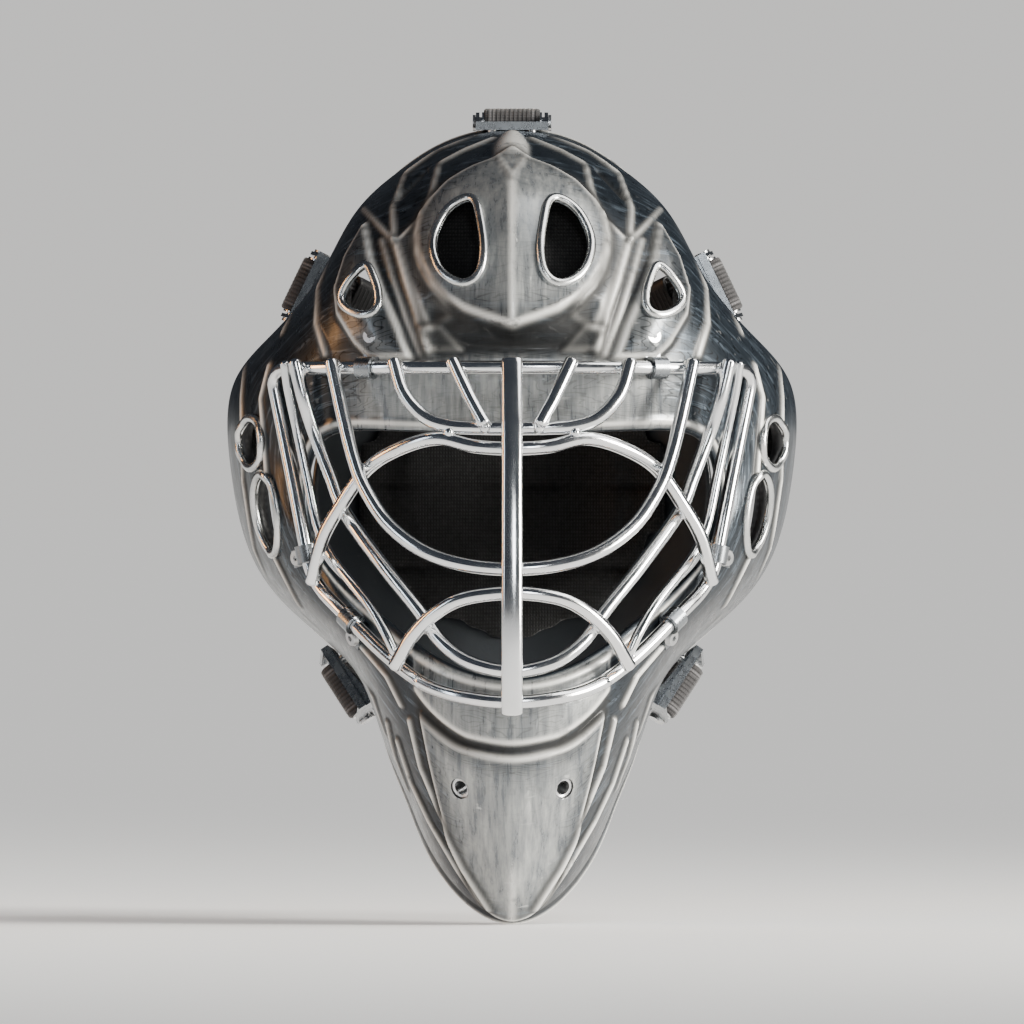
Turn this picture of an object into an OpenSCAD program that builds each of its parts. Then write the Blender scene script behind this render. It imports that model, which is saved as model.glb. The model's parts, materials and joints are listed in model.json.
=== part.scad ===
// Ice hockey goalie mask: moulded shell, welded wire cage, five-strap harness, back plate, chin sling.
// Origin: centre of the head at eye level. -Y is forward, +X is the wearer's left, +Z is up.

/* [Shell] */
// Thickness of the moulded shell wall
wall = 4; // [3.6:0.1:4.4]
// Grid cells round the shell
cells_round = 84; // [60:6:90]
// Grid cells from the face opening to the rear edge
cells_deep = 18; // [15:3:21]

/* [Cage] */
// Diameter of the cage wire
wire_d = 5.6; // [5.2:0.1:5.8]
// Diameter of the thin side wires
thin_wire_d = 4; // [3.6:0.1:4.2]
// Width of the flat centre bar
centre_bar_w = 8.6; // [7:0.2:9]
// Thickness of the flat centre bar
centre_bar_t = 5.4; // [5:0.1:5.6]
// Sides of the polygon that stands for a round wire
wire_sides = 8; // [8:2:10]

/* [Clips] */
// Width of a cage clip along the wire
clip_w = 7; // [6:0.5:8]
// Thickness of the clip's tail and ring
clip_t = 1.5; // [1.2:0.1:1.8]
// Diameter of the clip screws
screw_d = 3.8; // [3.4:0.1:4]

/* [Harness] */
// Width of the elastic straps
strap_w = 23; // [20:0.5:24]
// Thickness of the elastic straps
strap_t = 1.8; // [1.4:0.1:2]
// Diameter of the strap rollers
roller_d = 9; // [8:0.5:9.5]
// Diameter of the roller pins
pin_d = 5; // [4:0.5:5]
// Radial clearance of a roller on its pin
running_fit = 0.06; // [0.03:0.01:0.1]
// Height of the back plate
plate_h = 156; // [150:1:160]
// Thickness of the back plate
plate_t = 3; // [2.5:0.1:3.5]
// Thickness of the pad inside the back plate
back_pad_t = 10; // [6:1:12]

/* [Padding] */
// Thickness of the brow pad
brow_pad_t = 13; // [8:1:14]
// Thickness of the crown pad
crown_pad_t = 14; // [8:1:16]
// Thickness of the temple pads
temple_pad_t = 20; // [12:1:22]
// Thickness of the jaw pads
jaw_pad_t = 16; // [10:1:18]

/* [Chin] */
// Diameter of the lace bore through a chin eyelet
eyelet_bore = 6; // [5:0.2:6.4]
// Diameter of the chin sling studs
stud_d = 5; // [4:0.2:5]

/* [Hidden] */

// Shell form: spokes from the top centre (0) round the left side to the bottom centre (15).
// Each spoke runs from the face opening to the rear edge.
SPOKES = [
    [[0, -113, 27], [0, -119, 50], [0, -117, 78], [0, -105, 106], [0, -79, 131], [0, -36, 147], [0, 15, 150]],
    [[22, -112, 27], [23, -117.5, 50], [24, -115, 78], [25, -102, 105], [25, -76, 128.5], [25, -34, 143.5],
     [24, 16, 146]],
    [[45, -107, 27.5], [47, -110.5, 50], [48, -107, 77], [48, -94, 100], [48, -69, 120], [47, -29, 131.5],
     [45, 20, 133]],
    [[66.5, -95, 28], [68.5, -96.5, 50], [70, -93, 74], [69, -81, 94], [67, -57, 109], [64, -22, 116.5],
     [61, 25, 115.5]],
    [[79, -82.5, 23], [84, -80.5, 44], [86, -76, 61], [82, -65, 78], [78.5, -42, 88], [75.5, -10, 92],
     [73.5, 31, 90]],
    [[84, -76.5, 9], [91.5, -71.5, 29], [98, -62.5, 47], [99.5, -47, 60], [97.5, -21, 66], [94, 9, 67.5],
     [88, 44, 66]],
    [[83.5, -77, -6], [93.5, -68, 12], [105, -53.5, 29], [112, -34, 41], [114.5, -7, 46], [113, 24, 46],
     [105, 57, 41]],
    [[79.5, -81, -20], [91, -72, -8], [102.5, -56.5, 4], [110.5, -35, 11], [114.5, -8, 14], [113.5, 26, 14],
     [104.5, 65, 10]],
    [[72.5, -88.5, -31], [83, -78, -27], [94.5, -61, -23.5], [102.5, -39, -22], [107, -11, -21],
     [107, 22, -23], [99, 60, -27]],
    [[62.5, -99.5, -41], [72.5, -90, -42], [81.5, -73, -42], [88, -49, -43], [90.5, -20, -45], [89, 12, -48],
     [83, 43, -52]],
    [[52, -111, -50], [60, -103, -56], [64.5, -87, -61], [65.5, -63, -65], [64, -37, -68], [62, -9, -71],
     [58, 18, -74]],
    [[41, -121.5, -59], [49, -114.5, -68], [53.5, -99, -78], [55, -79, -86], [54.5, -57, -92],
     [53.5, -34, -97], [51, -12, -101]],
    [[31, -130.5, -65.5], [38, -125, -79], [42.5, -112, -92], [44.5, -96, -104], [44.5, -79, -112],
     [43, -61, -119], [41, -42, -124]],
    [[20, -137.5, -70.5], [26, -133.5, -86], [31.5, -123, -104], [34.5, -109, -119], [35, -95, -130],
     [34.5, -81, -138], [33, -66, -145]],
    [[10, -141.5, -73], [13.5, -139.5, -93], [17, -131, -115], [19.5, -119, -135], [20, -108, -149],
     [19.5, -97, -158.5], [18, -84, -164]],
    [[0, -143, -74], [0, -142.5, -95], [0, -136, -118], [0, -126, -141], [0, -116, -157], [0, -105, -168],
     [0, -92, -172]]
];
LAST_SPOKE = len(SPOKES) - 1;
AROUND = 2 * LAST_SPOKE;
LAST_ROW = len(SPOKES[0]) - 1;

// Cage wires as [x, z, lift]: lift is how far the wire stands in front of the cage's surface.
RIM = [[97.4, 52, 8], [80.4, -34, 10], [46.7, -67.5, 14], [30.5, -78, 10], [0, -83.3, 16]];
BROW_BAR = [[0, 27.6, 0], [14, 27.7, 0.2], [25.8, 28.6, 0.6], [35.2, 32.3, 1.8], [43.4, 41.7, 3.8],
    [47.5, 54.4, 5.4]];
EYE_BAR = [[0, -28.7, 0], [18.8, -27, 0.2], [35.2, -21.6, 0.8], [49.3, -11, 1.5], [58.7, 3, 2.2],
    [63.3, 14.7, 2.6], [67.6, 31.2, 3.6], [72.7, 54.4, 5.4]];
OUTER_BAR = [[0, -69.7, 0], [16.4, -66.2, -1], [28.2, -58, -3], [37.5, -45.1, -5.2], [51.6, -27.5, -5.6],
    [66.9, -6.4, -5.4], [72.7, 7.7, -4.6], [79.8, 26.5, -1], [84, 40, 3.4], [87.5, 54.4, 5.4]];
UPPER_ARCH = [[0, 19.4, 0], [15, 20.3, 0], [30, 23.4, -0.6], [45, 19.4, -2.4], [58, 11.4, -3.2],
    [68.5, -3, 0], [76.3, -17, 3.2], [80.4, -34, 5.4]];
LOWER_ARCH = [[0, -38.3, 0], [18.8, -40.4, 0.2], [30.5, -46.3, 0.8], [39.9, -55.6, 2.6],
    [46.9, -67.6, 5.4]];
SIDE_WIRE = [[91.6, 54, 4.6], [90, 43, 3.2], [86.4, 26, 0.4], [82.4, 7, -1.6], [78.2, -12, -2.6],
    [71.9, -25, -2.8], [58, -42.5, -2], [51, -54, -1], [47, -62.4, -0.6]];
SHORT_BAR = [[11.2, 29.5, 4.6], [17, 40, 4.6], [23.8, 54.4, 5.4]];
CENTRE_BAR = [[0, 54.6, 5.3], [0, 27, 5.3], [0, 0, 5.3], [0, -28, 5.3], [0, -56, 5.3], [0, -86, 5.3]];
CURVE_STEPS = 3;

// Strap anchors as [spoke, height of the pin, lean, rise, first and last point of the strap on the plate].
// Lean tips the bracket up from the shell on a wedge, rise thickens its foot; plate points are [x, z].
TOP = [0, 2.8, 0, 0, [0, 70], [0, 48]];
UPPER = [4.3, 4.8, 8, 1.3, [44, 62], [27, 50]];
LOWER = [9.9, 4.8, -8, 2, [44, -55], [27, -44]];
BASE_L = 29.6;
BASE_T = 1.5;
EAR_T = 1.5;
BASE_FRONT = -7;
BASE_REAR = 6;
PIN_BEHIND = 17;
SURFACE_GAP = 0.3;
RIVET_SPAN = 8;
ROLLER_L = strap_w + 1.6;
WRAP_R = roller_d / 2 + 0.25 + strap_t / 2;
LAYER_GAP = 5;
SLIDER_AT = 32;
SLIDER_L = 13;
FREE_END = 44;

// Clips as [side of the rim, fraction along it, spoke and row of the screw on the shell]
CLIPS = [[0, 0.8, 2.45, 1.55], [1, 0.87, 7.75, 0.95], [2, 0.46, 9.75, 1.2]];
FOOT_GAP = 0.3;

// Back plate: outermost point and radii of its curve across and up
PLATE_Y = 112;
PLATE_RX = 88;
PLATE_RZ = 170;
PLATE_ZC = 4;
PLATE_GAP = 0.8;
PAD_GAP = 1.8;

// Chin sling: face of the webbing tab at the stud, centre and reach of the cup
STUD = [34, -82, -96];
STUD_REACH = 14.5;
CUP = [0, -76, -111];
CUP_R = [34.8, 27, 23];
CUP_T = 2.4;
LINER_T = 5;
TAB_T = 1.6;
TAB_W = 14;
TAB_L = 20;
// Spoke and row of the throat guard lace eyelet
EYELET_AT = [13.85, 2.12];

// --- Vectors and frames ---
function unit(v) = v / norm(v);
function across(v, t) = unit(v - (v * t) * t);
function mirrored(p) = [-p.x, p.y, p.z];

// Rigid frame with its x, y and z axes and its origin
module place(x, y, z, o) {
    multmatrix([[x.x, y.x, z.x, o.x], [x.y, y.y, z.y, o.y], [x.z, y.z, z.z, o.z], [0, 0, 0, 1]]) children();
}

// --- Shell surface: a cubic B-spline that passes through the spokes ---
function spoke(j) = let (k = (j + AROUND) % AROUND) k <= LAST_SPOKE ? SPOKES[k]
    : [for (p = SPOKES[AROUND - k]) mirrored(p)];
RING = [for (j = [0:AROUND - 1]) [for (i = [0:LAST_ROW])
    spoke(j)[i] - (spoke(j - 1)[i] - 2 * spoke(j)[i] + spoke(j + 1)[i]) / 6]];
NET = [for (c = RING) let (
        inner = [for (i = [1:LAST_ROW - 1]) c[i] - (c[i - 1] - 2 * c[i] + c[i + 1]) / 6],
        row = concat([c[0]], inner, [c[LAST_ROW]])
    ) concat([2 * row[0] - row[1]], row, [2 * row[LAST_ROW] - row[LAST_ROW - 1]])];

function basis(t) = [pow(1 - t, 3), 3 * pow(t, 3) - 6 * t * t + 4, -3 * pow(t, 3) + 3 * t * t + 3 * t + 1,
    pow(t, 3)] / 6;

// Outer surface: u counts spokes, v counts rows from the face opening to the rear edge
function shell_at(u, v) = let (
        j = floor(u), i = min(max(floor(v), 0), LAST_ROW - 1), a = basis(u - j), b = basis(v - i))
    a * [for (m = [0:3]) b * [for (n = [0:3]) NET[(j - 1 + m + AROUND) % AROUND][i + n]]];
function along_edge(u, v) = shell_at(u + 0.02, v) - shell_at(u - 0.02, v);
function to_rear(u, v) = shell_at(u, min(v + 0.02, LAST_ROW)) - shell_at(u, max(v - 0.02, 0));
function shell_normal(u, v) = unit(cross(along_edge(u, v), to_rear(u, v)));
function inside(u, v, depth) = shell_at(u, v) - depth * shell_normal(u, v);

// --- Solids from grids and rings of points ---
// Closed solid between an outer and an inner grid of points; ring joins the last column to the first
module slab(outer, inner, ring = false) {
    nu = len(outer);
    nv = len(outer[0]);
    low = nu * nv;
    spans = ring ? nu : nu - 1;
    function at(i, j) = (i % nu) * nv + j;
    function skin(a, b, c, d) = [[a, d, c], [a, c, b],
        [a + low, b + low, c + low], [a + low, c + low, d + low]];
    function side(a, b) = [[a, b, b + low], [a, b + low, a + low]];
    skins = [for (i = [0:spans - 1]) for (j = [0:nv - 2])
        each skin(at(i, j), at(i + 1, j), at(i + 1, j + 1), at(i, j + 1))];
    fronts = [for (i = [0:spans - 1]) each side(at(i, 0), at(i + 1, 0))];
    rears = [for (i = [0:spans - 1]) each side(at(i + 1, nv - 1), at(i, nv - 1))];
    ends = ring ? [] : [for (j = [0:nv - 2])
        each concat(side(at(0, j + 1), at(0, j)), side(at(nu - 1, j), at(nu - 1, j + 1)))];
    points = concat([for (c = outer) each c], [for (c = inner) each c]);
    polyhedron(points, concat(skins, fronts, rears, ends), convexity = 10);
}

// Closed solid through rings of points that turn anticlockwise about the way the rings go
module loft(rings, closed = false) {
    n = len(rings);
    m = len(rings[0]);
    function at(i, j) = (i % n) * m + j % m;
    sides = [for (i = [0:(closed ? n : n - 1) - 1]) for (j = [0:m - 1])
        each [[at(i, j), at(i + 1, j), at(i + 1, j + 1)], [at(i, j), at(i + 1, j + 1), at(i, j + 1)]]];
    caps = closed ? [] : [[for (j = [0:m - 1]) at(0, j)], [for (j = [m - 1:-1:0]) at(n - 1, j)]];
    polyhedron([for (r = rings) each r], concat(sides, caps), convexity = 10);
}

// Direction of a path at point i
function heading(path, i, closed) = let (n = len(path),
        a = closed ? path[(i + n - 1) % n] : path[max(i - 1, 0)],
        b = closed ? path[(i + 1) % n] : path[min(i + 1, n - 1)])
    unit(b - a);

// Rings of a section along a path; wide holds one width direction or one for each point
function rings(path, wide, section, closed = false) = [for (i = [0:len(path) - 1]) let (
        t = heading(path, i, closed), s = across(is_list(wide[0]) ? wide[i] : wide, t), w = cross(t, s))
    [for (p = section) path[i] + p.x * s + p.y * w]];
function round_section(rx, ry, sides) = [for (k = [0:sides - 1]) [rx * cos(360 * k / sides),
    ry * sin(360 * k / sides)]];
function flat_section(w, t) = [[w, -t] / 2, [w, t] / 2, [-w, t] / 2, [-w, -t] / 2];

// Smooth curve through points, CURVE_STEPS to a span
function spline_at(p, q, r, s, t) = (2 * q + (r - p) * t + (2 * p - 5 * q + 4 * r - s) * t * t
    + (3 * q - p - 3 * r + s) * pow(t, 3)) / 2;
function curve(c) = let (n = len(c), e = concat([2 * c[0] - c[1]], c, [2 * c[n - 1] - c[n - 2]]))
    concat([for (i = [0:n - 2]) for (k = [0:CURVE_STEPS - 1])
        spline_at(e[i], e[i + 1], e[i + 2], e[i + 3], k / CURVE_STEPS)], [c[n - 1]]);

// --- Cage surface: a profile down the middle, bowed back towards the sides ---
function cage_profile(z) = let (t = (52 - z) / 136) -126 - 72.5 * t + 49 * t * t;
function cage_bow(z) = let (d = 52 - z)
    0.0009 * exp(0.0144 * d - 0.0001765 * d * d + 0.000001106 * pow(d, 3));
function cage_y(x, z) = cage_profile(z) + cage_bow(z) * pow(abs(x), 2.4);
function cage_slope(x, z) = norm([cage_y(x + 1, z) - cage_y(x - 1, z), 2,
    cage_y(x, z + 1) - cage_y(x, z - 1)]) / 2;
// Point [x, z, lift] of a wire: the lift is square to the cage's surface, but moves only forward
function on_cage(p) = [p.x, cage_y(p.x, p.y) - p.z * cage_slope(p.x, p.y), p.y];

// Points of a wire whose right half mirrors its left half
function both_halves(c) = concat([for (i = [len(c) - 1:-1:1]) [-c[i].x, c[i].y, c[i].z]], c);

// Wire along a path of 3-D points, with its width measured from the forward direction
module bent_wire(points, d, closed = false) {
    path = closed ? points : [for (p = curve(points)) on_cage(p)];
    loft(rings(path, [0, -1, 0], round_section(d / 2, d / 2, wire_sides), closed), closed);
}

// Rim outline with rounded corners, as points [x, z]
function corner(p, c, q, r) = let (a = c + unit(p - c) * r, b = c + unit(q - c) * r)
    [for (t = [0:0.25:1]) (1 - t) * (1 - t) * a + 2 * t * (1 - t) * c + t * t * b];
function filled(path, gap) = [for (i = [0:len(path) - 1]) let (a = path[i], b = path[(i + 1) % len(path)],
        n = max(1, ceil(norm(b - a) / gap)))
    for (k = [0:n - 1]) a + (b - a) * k / n];
RIM_LOOP = concat([for (p = RIM) p], [for (i = [len(RIM) - 2:-1:0]) [-RIM[i].x, RIM[i].y, RIM[i].z]]);
RIM_2D = filled([for (i = [0:len(RIM_LOOP) - 1]) let (n = len(RIM_LOOP), p = RIM_LOOP[(i + n - 1) % n],
        c = RIM_LOOP[i], q = RIM_LOOP[(i + 1) % n])
    each corner([p.x, p.y], [c.x, c.y], [q.x, q.y], c.z)], 9);

module cage_rim() {
    color("gainsboro") bent_wire([for (p = RIM_2D) on_cage([p.x, p.y, 0])], wire_d, true);
}
module cage_brow_bar() {
    color("gainsboro") bent_wire(both_halves(BROW_BAR), wire_d);
}
module cage_eye_bar() {
    color("gainsboro") bent_wire(both_halves(EYE_BAR), wire_d);
}
module cage_outer_bar() {
    color("gainsboro") bent_wire(both_halves(OUTER_BAR), wire_d);
}
module cage_upper_arch() {
    color("gainsboro") bent_wire(both_halves(UPPER_ARCH), wire_d);
}
module cage_lower_arch() {
    color("gainsboro") bent_wire(both_halves(LOWER_ARCH), wire_d);
}
module cage_side_wire_left() {
    color("gainsboro") bent_wire(SIDE_WIRE, thin_wire_d);
}
module cage_side_wire_right() {
    mirror([1, 0, 0]) cage_side_wire_left();
}
module cage_short_bar_left() {
    color("gainsboro") bent_wire(SHORT_BAR, wire_d);
}
module cage_short_bar_right() {
    mirror([1, 0, 0]) cage_short_bar_left();
}
module cage_centre_bar() {
    section = round_section(centre_bar_w / 2, centre_bar_t / 2, wire_sides + 4);
    color("gainsboro") loft(rings([for (p = curve(CENTRE_BAR)) on_cage(p)], [1, 0, 0], section));
}

// --- Cage clips: a saddle round the rim wire with a tail screwed to the shell ---
// Side k of the rim runs from corner k - 1 to corner k; side 0 is the top bar
function rim_corner(k) = k < 0 ? [-RIM[0].x, RIM[0].y] : [RIM[k].x, RIM[k].y];
function rim_side(k, t) = let (p = (1 - t) * rim_corner(k - 1) + t * rim_corner(k)) on_cage([p.x, p.y, 0]);
function clip_foot(c) = shell_at(c[2], c[3]);
// Clip frame at the wire's centre: x along the tail, y away from the shell, z along the wire
function clip_z(c) = unit(rim_side(c[0], c[1] + 0.01) - rim_side(c[0], c[1] - 0.01));
function clip_y(c) = across(shell_normal(c[2], c[3]), clip_z(c));
function clip_x(c) = cross(clip_y(c), clip_z(c));
function clip_side(c) = (clip_foot(c) - rim_side(c[0], c[1])) * clip_x(c) < 0 ? -1 : 1;
function clip_drop(c) = (rim_side(c[0], c[1]) - clip_foot(c)) * clip_y(c);
function clip_reach(c) = abs((clip_foot(c) - rim_side(c[0], c[1])) * clip_x(c));
module at_clip(c) {
    place(clip_side(c) * clip_x(c), clip_y(c), clip_side(c) * clip_z(c), rim_side(c[0], c[1])) children();
}

module cage_clip(c) {
    bore_r = wire_d / 2 + 0.25;
    sole = -clip_drop(c) + FOOT_GAP;
    reach = clip_reach(c);
    at_clip(c) difference() {
        union() {
            cylinder(h = clip_w, r = bore_r + clip_t, center = true, $fn = 48);
            translate([0, sole, -clip_w / 2]) cube([bore_r + clip_t, -sole, clip_w]);
            translate([0, sole, -clip_w / 2]) cube([reach + 4.2, clip_t, clip_w]);
        }
        cylinder(h = clip_w + 2, r = bore_r, center = true, $fn = 48);
        translate([reach, sole - 1, 0]) rotate([-90, 0, 0]) cylinder(h = 6, r = screw_d / 2 + 0.2, $fn = 32);
    }
}
module clip_screw(c) {
    sole = -clip_drop(c) + FOOT_GAP;
    at_clip(c) translate([clip_reach(c), sole, 0]) rotate([-90, 0, 0]) {
        translate([0, 0, clip_t + 0.05]) difference() {
            cylinder(h = 2, r1 = 3.6, r2 = 3, $fn = 48);
            translate([0, 0, 1]) cylinder(h = 2, r = 1.3, $fn = 6);
        }
        translate([0, 0, -wall - 0.6]) cylinder(h = wall + clip_t + 0.75, r = screw_d / 2, $fn = 32);
    }
}
module clip_nut(c) {
    sole = -clip_drop(c);
    at_clip(c) translate([clip_reach(c), sole, 0]) rotate([-90, 0, 0]) difference() {
        union() {
            translate([0, 0, -wall - 1.7]) cylinder(h = 1, r = 4.4, $fn = 48);
            translate([0, 0, -wall - 1.7]) cylinder(h = wall + 1, r = screw_d / 2 + 0.7, $fn = 48);
        }
        translate([0, 0, -wall - 2]) cylinder(h = wall + 4, r = screw_d / 2 + 0.05, $fn = 48);
    }
}
// One on each side of the mask
module pair() {
    children();
    mirror([1, 0, 0]) children();
}
module cage_clips() {
    color("silver") for (c = CLIPS) pair() cage_clip(c);
}
module clip_screws() {
    color("silver") for (c = CLIPS) pair() clip_screw(c);
}
module clip_nuts() {
    color("dimgray") for (c = CLIPS) pair() clip_nut(c);
}

// --- Shell ---
module vent_2d(points) {
    offset(r = 2, $fn = 24) offset(delta = -2) polygon(points);
}
BROW_VENT = [[15, 120.5], [24.6, 116], [29.5, 107], [30.6, 100], [28, 92], [23, 88], [18, 87], [13.8, 90.5],
    [12.6, 97], [13.2, 108]];
SIDE_VENT = [[59, 93.5], [66.7, 83], [67.2, 78.5], [63, 75.6], [59, 74.4], [55.4, 76], [54.7, 80], [57, 89]];
EAR_VENT_ROUND = [101.6, -50, 22];
EAR_VENT_DROP = [96, -57, -7];
DROP = [[-3, 14.5], [3, 15.5], [8.5, 8], [9.5, 0], [7.5, -8], [3, -13], [-1, -15], [-5, -12], [-8, -4],
    [-7, 6]];

module shell_cutters() {
    for (shape = [BROW_VENT, SIDE_VENT])
        translate([0, -50, 0]) rotate([90, 0, 0]) linear_extrude(100) vent_2d(shape);
    translate(EAR_VENT_ROUND) rotate([90, 0, 60]) cylinder(h = 44, r = 8.6, center = true, $fn = 32);
    translate(EAR_VENT_DROP) rotate([90, 0, 52]) linear_extrude(44, center = true) vent_2d(DROP);
    for (c = CLIPS)
        at_clip(c) translate([clip_reach(c), -clip_drop(c), 0]) rotate([-90, 0, 0])
            cylinder(h = 14, r = screw_d / 2 + 1.1, center = true, $fn = 16);
    at_eyelet() cylinder(h = 14, r = eyelet_bore / 2 + 1.3, center = true, $fn = 24);
    for (a = [UPPER, LOWER]) at_anchor(a) rivet_holes(2.4, 40);
}
module shell() {
    cols = [for (i = [0:cells_round - 1]) AROUND * i / cells_round];
    rows = [for (k = [0:cells_deep]) LAST_ROW * k / cells_deep];
    color("slategray") resize([0, 0, 0]) difference() {
        slab([for (u = cols) [for (v = rows) shell_at(u, v)]],
            [for (u = cols) [for (v = rows) inside(u, v, wall)]], ring = true);
        pair() shell_cutters();
        at_anchor(TOP) rivet_holes(2.4, 16);
    }
}

// --- Throat guard lace eyelets ---
module at_eyelet() {
    n = shell_normal(EYELET_AT.x, EYELET_AT.y);
    x = across([1, 0, 0], n);
    place(x, cross(n, x), n, shell_at(EYELET_AT.x, EYELET_AT.y)) children();
}
module lace_eyelet_left() {
    r = eyelet_bore / 2;
    color("silver") at_eyelet() rotate_extrude($fn = 64)
        polygon([[r, -wall - 1.6], [r + 2.6, -wall - 1.6], [r + 2.6, -wall - 0.7], [r + 1, -wall - 0.7],
            [r + 1, 0.5], [r + 3, 0.5], [r + 2.2, 1.4], [r + 0.8, 1.6], [r, 1.3]]);
}
module lace_eyelet_right() {
    mirror([1, 0, 0]) lace_eyelet_left();
}

// --- Liner pads that follow the shell's inner surface ---
module liner_pad(u0, u1, v0, v1, t, nu, nv) {
    cols = [for (i = [0:nu]) u0 + (u1 - u0) * i / nu];
    rows = [for (k = [0:nv]) v0 + (v1 - v0) * k / nv];
    near = wall + 1.7;
    slab([for (u = cols) [for (v = rows) inside(u, v, near)]],
        [for (u = cols) [for (v = rows) inside(u, v, near + t)]]);
}
module brow_pad() {
    color("black") liner_pad(-3.3, 3.3, 0.3, 1.15, brow_pad_t, 20, 3);
}
module crown_pad() {
    color("black") liner_pad(-1.9, 1.9, 2.15, 5.45, crown_pad_t, 10, 12);
}
module temple_pad_left() {
    color("black") liner_pad(3.75, 7.3, 3.5, 5.4, temple_pad_t, 10, 6);
}
module temple_pad_right() {
    mirror([1, 0, 0]) temple_pad_left();
}
module jaw_pad_left() {
    color("black") liner_pad(8.3, 10.7, 2.2, 4.9, jaw_pad_t, 7, 7);
}
module jaw_pad_right() {
    mirror([1, 0, 0]) jaw_pad_left();
}

// --- Strap anchors: bracket, pin, roller and rivets ---
// Row at which a bracket sits, so that its pin is the same way behind the edge on every spoke
function anchor_row(u) = LAST_ROW - 9 / norm(shell_at(u, LAST_ROW) - shell_at(u, LAST_ROW - 1));
function anchor_rear(a) = unit(to_rear(a[0], anchor_row(a[0])));
function anchor_normal(a) = let (n = shell_normal(a[0], anchor_row(a[0])))
    cos(a[2]) * n + sin(a[2]) * cross(anchor_rear(a), n);
function anchor_across(a) = cross(anchor_rear(a), anchor_normal(a));
function anchor_foot(a) = shell_at(a[0], anchor_row(a[0]))
    + (SURFACE_GAP + a[3] + BASE_L / 2 * tan(abs(a[2]))) * anchor_normal(a);
function pin_centre(a) = anchor_foot(a) + PIN_BEHIND * anchor_rear(a) + a[1] * anchor_normal(a);

// Bracket frame: x along the pin, y to the rear, z away from the shell
module at_anchor(a) {
    place(anchor_across(a), anchor_rear(a), anchor_normal(a), anchor_foot(a)) children();
}
module rivet_holes(r, h) {
    for (x = [-RIVET_SPAN, RIVET_SPAN]) translate([x, 0, 0]) cylinder(h = h, r = r, center = true, $fn = 16);
}
module strap_bracket(a) {
    half = BASE_L / 2;
    drop = BASE_L * tan(abs(a[2]));
    low_left = a[2] > 0 ? -drop : 0;
    low_right = a[2] > 0 ? 0 : -drop;
    at_anchor(a) difference() {
        union() {
            translate([0, BASE_REAR, 0]) rotate([90, 0, 0]) linear_extrude(BASE_REAR - BASE_FRONT)
                polygon([[-half, low_left], [half, low_right], [half, BASE_T], [-half, BASE_T]]);
            translate([-half, BASE_FRONT - 1.5, 0]) cube([BASE_L, 1.5, 3.4]);
            for (x = [-half, half - EAR_T]) translate([x, 0, 0]) ear(a[1]);
        }
        for (x = [-RIVET_SPAN, RIVET_SPAN]) translate([x, 0, -15]) cylinder(h = 30, r = 2, $fn = 32);
        translate([-half - 1, PIN_BEHIND, a[1]]) rotate([0, 90, 0])
            cylinder(h = BASE_L + 2, r = pin_d / 2 + 0.03, $fn = 48);
    }
}
module ear(height) {
    rotate([90, 0, 90]) linear_extrude(EAR_T) {
        polygon([[BASE_FRONT, 0], [BASE_REAR, 0], [PIN_BEHIND, height - 4.4], [PIN_BEHIND, height + 4.4],
            [BASE_FRONT, 3.4]]);
        translate([PIN_BEHIND, height]) circle(r = 4.4, $fn = 48);
    }
}
module roller_pin(a) {
    at_anchor(a) translate([0, PIN_BEHIND, a[1]]) rotate([0, 90, 0]) {
        cylinder(h = BASE_L + 0.2, r = pin_d / 2, center = true, $fn = 48);
        for (s = [-1, 1]) translate([0, 0, s * (BASE_L / 2 + 0.7)])
            cylinder(h = 1.2, r = pin_d / 2 + 0.9, center = true, $fn = 48);
    }
}
module strap_roller(a) {
    color("silver") at_anchor(a) translate([0, PIN_BEHIND, a[1]]) rotate([0, 90, 0]) difference() {
        cylinder(h = ROLLER_L, r = roller_d / 2, center = true, $fn = 64);
        cylinder(h = ROLLER_L + 2, r = pin_d / 2 + running_fit, center = true, $fn = 64);
    }
}
module bracket_rivet_pair(a) {
    drop = BASE_L / 2 * tan(abs(a[2])) + SURFACE_GAP + a[3];
    for (x = [-RIVET_SPAN, RIVET_SPAN]) {
        side_drop = drop - x * tan(a[2]) + 1 + wall / cos(a[2]) + 3 * sin(abs(a[2]));
        at_anchor(a) translate([x, 0, 0]) {
            translate([0, 0, BASE_T + 0.05]) cylinder(h = 1.3, r1 = 3.2, r2 = 2.2, $fn = 32);
            translate([0, 0, -side_drop - 1]) cylinder(h = side_drop + 1 + BASE_T + 0.1, r = 1.9, $fn = 32);
            translate([0, 0, -side_drop - 1]) cylinder(h = 1, r = 3, $fn = 32);
        }
    }
}
module bracket_rivets() {
    color("silver") {
        bracket_rivet_pair(TOP);
        for (a = [UPPER, LOWER]) pair() bracket_rivet_pair(a);
    }
}
module roller_pins() {
    color("silver") {
        roller_pin(TOP);
        for (a = [UPPER, LOWER]) pair() roller_pin(a);
    }
}
module strap_bracket_top() {
    color("darkgray") strap_bracket(TOP);
}
module strap_bracket_upper_left() {
    color("darkgray") strap_bracket(UPPER);
}
module strap_bracket_upper_right() {
    mirror([1, 0, 0]) strap_bracket_upper_left();
}
module strap_bracket_lower_left() {
    color("darkgray") strap_bracket(LOWER);
}
module strap_bracket_lower_right() {
    mirror([1, 0, 0]) strap_bracket_lower_left();
}
module strap_roller_top() {
    strap_roller(TOP);
}
module strap_roller_upper_left() {
    strap_roller(UPPER);
}
module strap_roller_upper_right() {
    mirror([1, 0, 0]) strap_roller_upper_left();
}
module strap_roller_lower_left() {
    strap_roller(LOWER);
}
module strap_roller_lower_right() {
    mirror([1, 0, 0]) strap_roller_lower_left();
}

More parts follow.
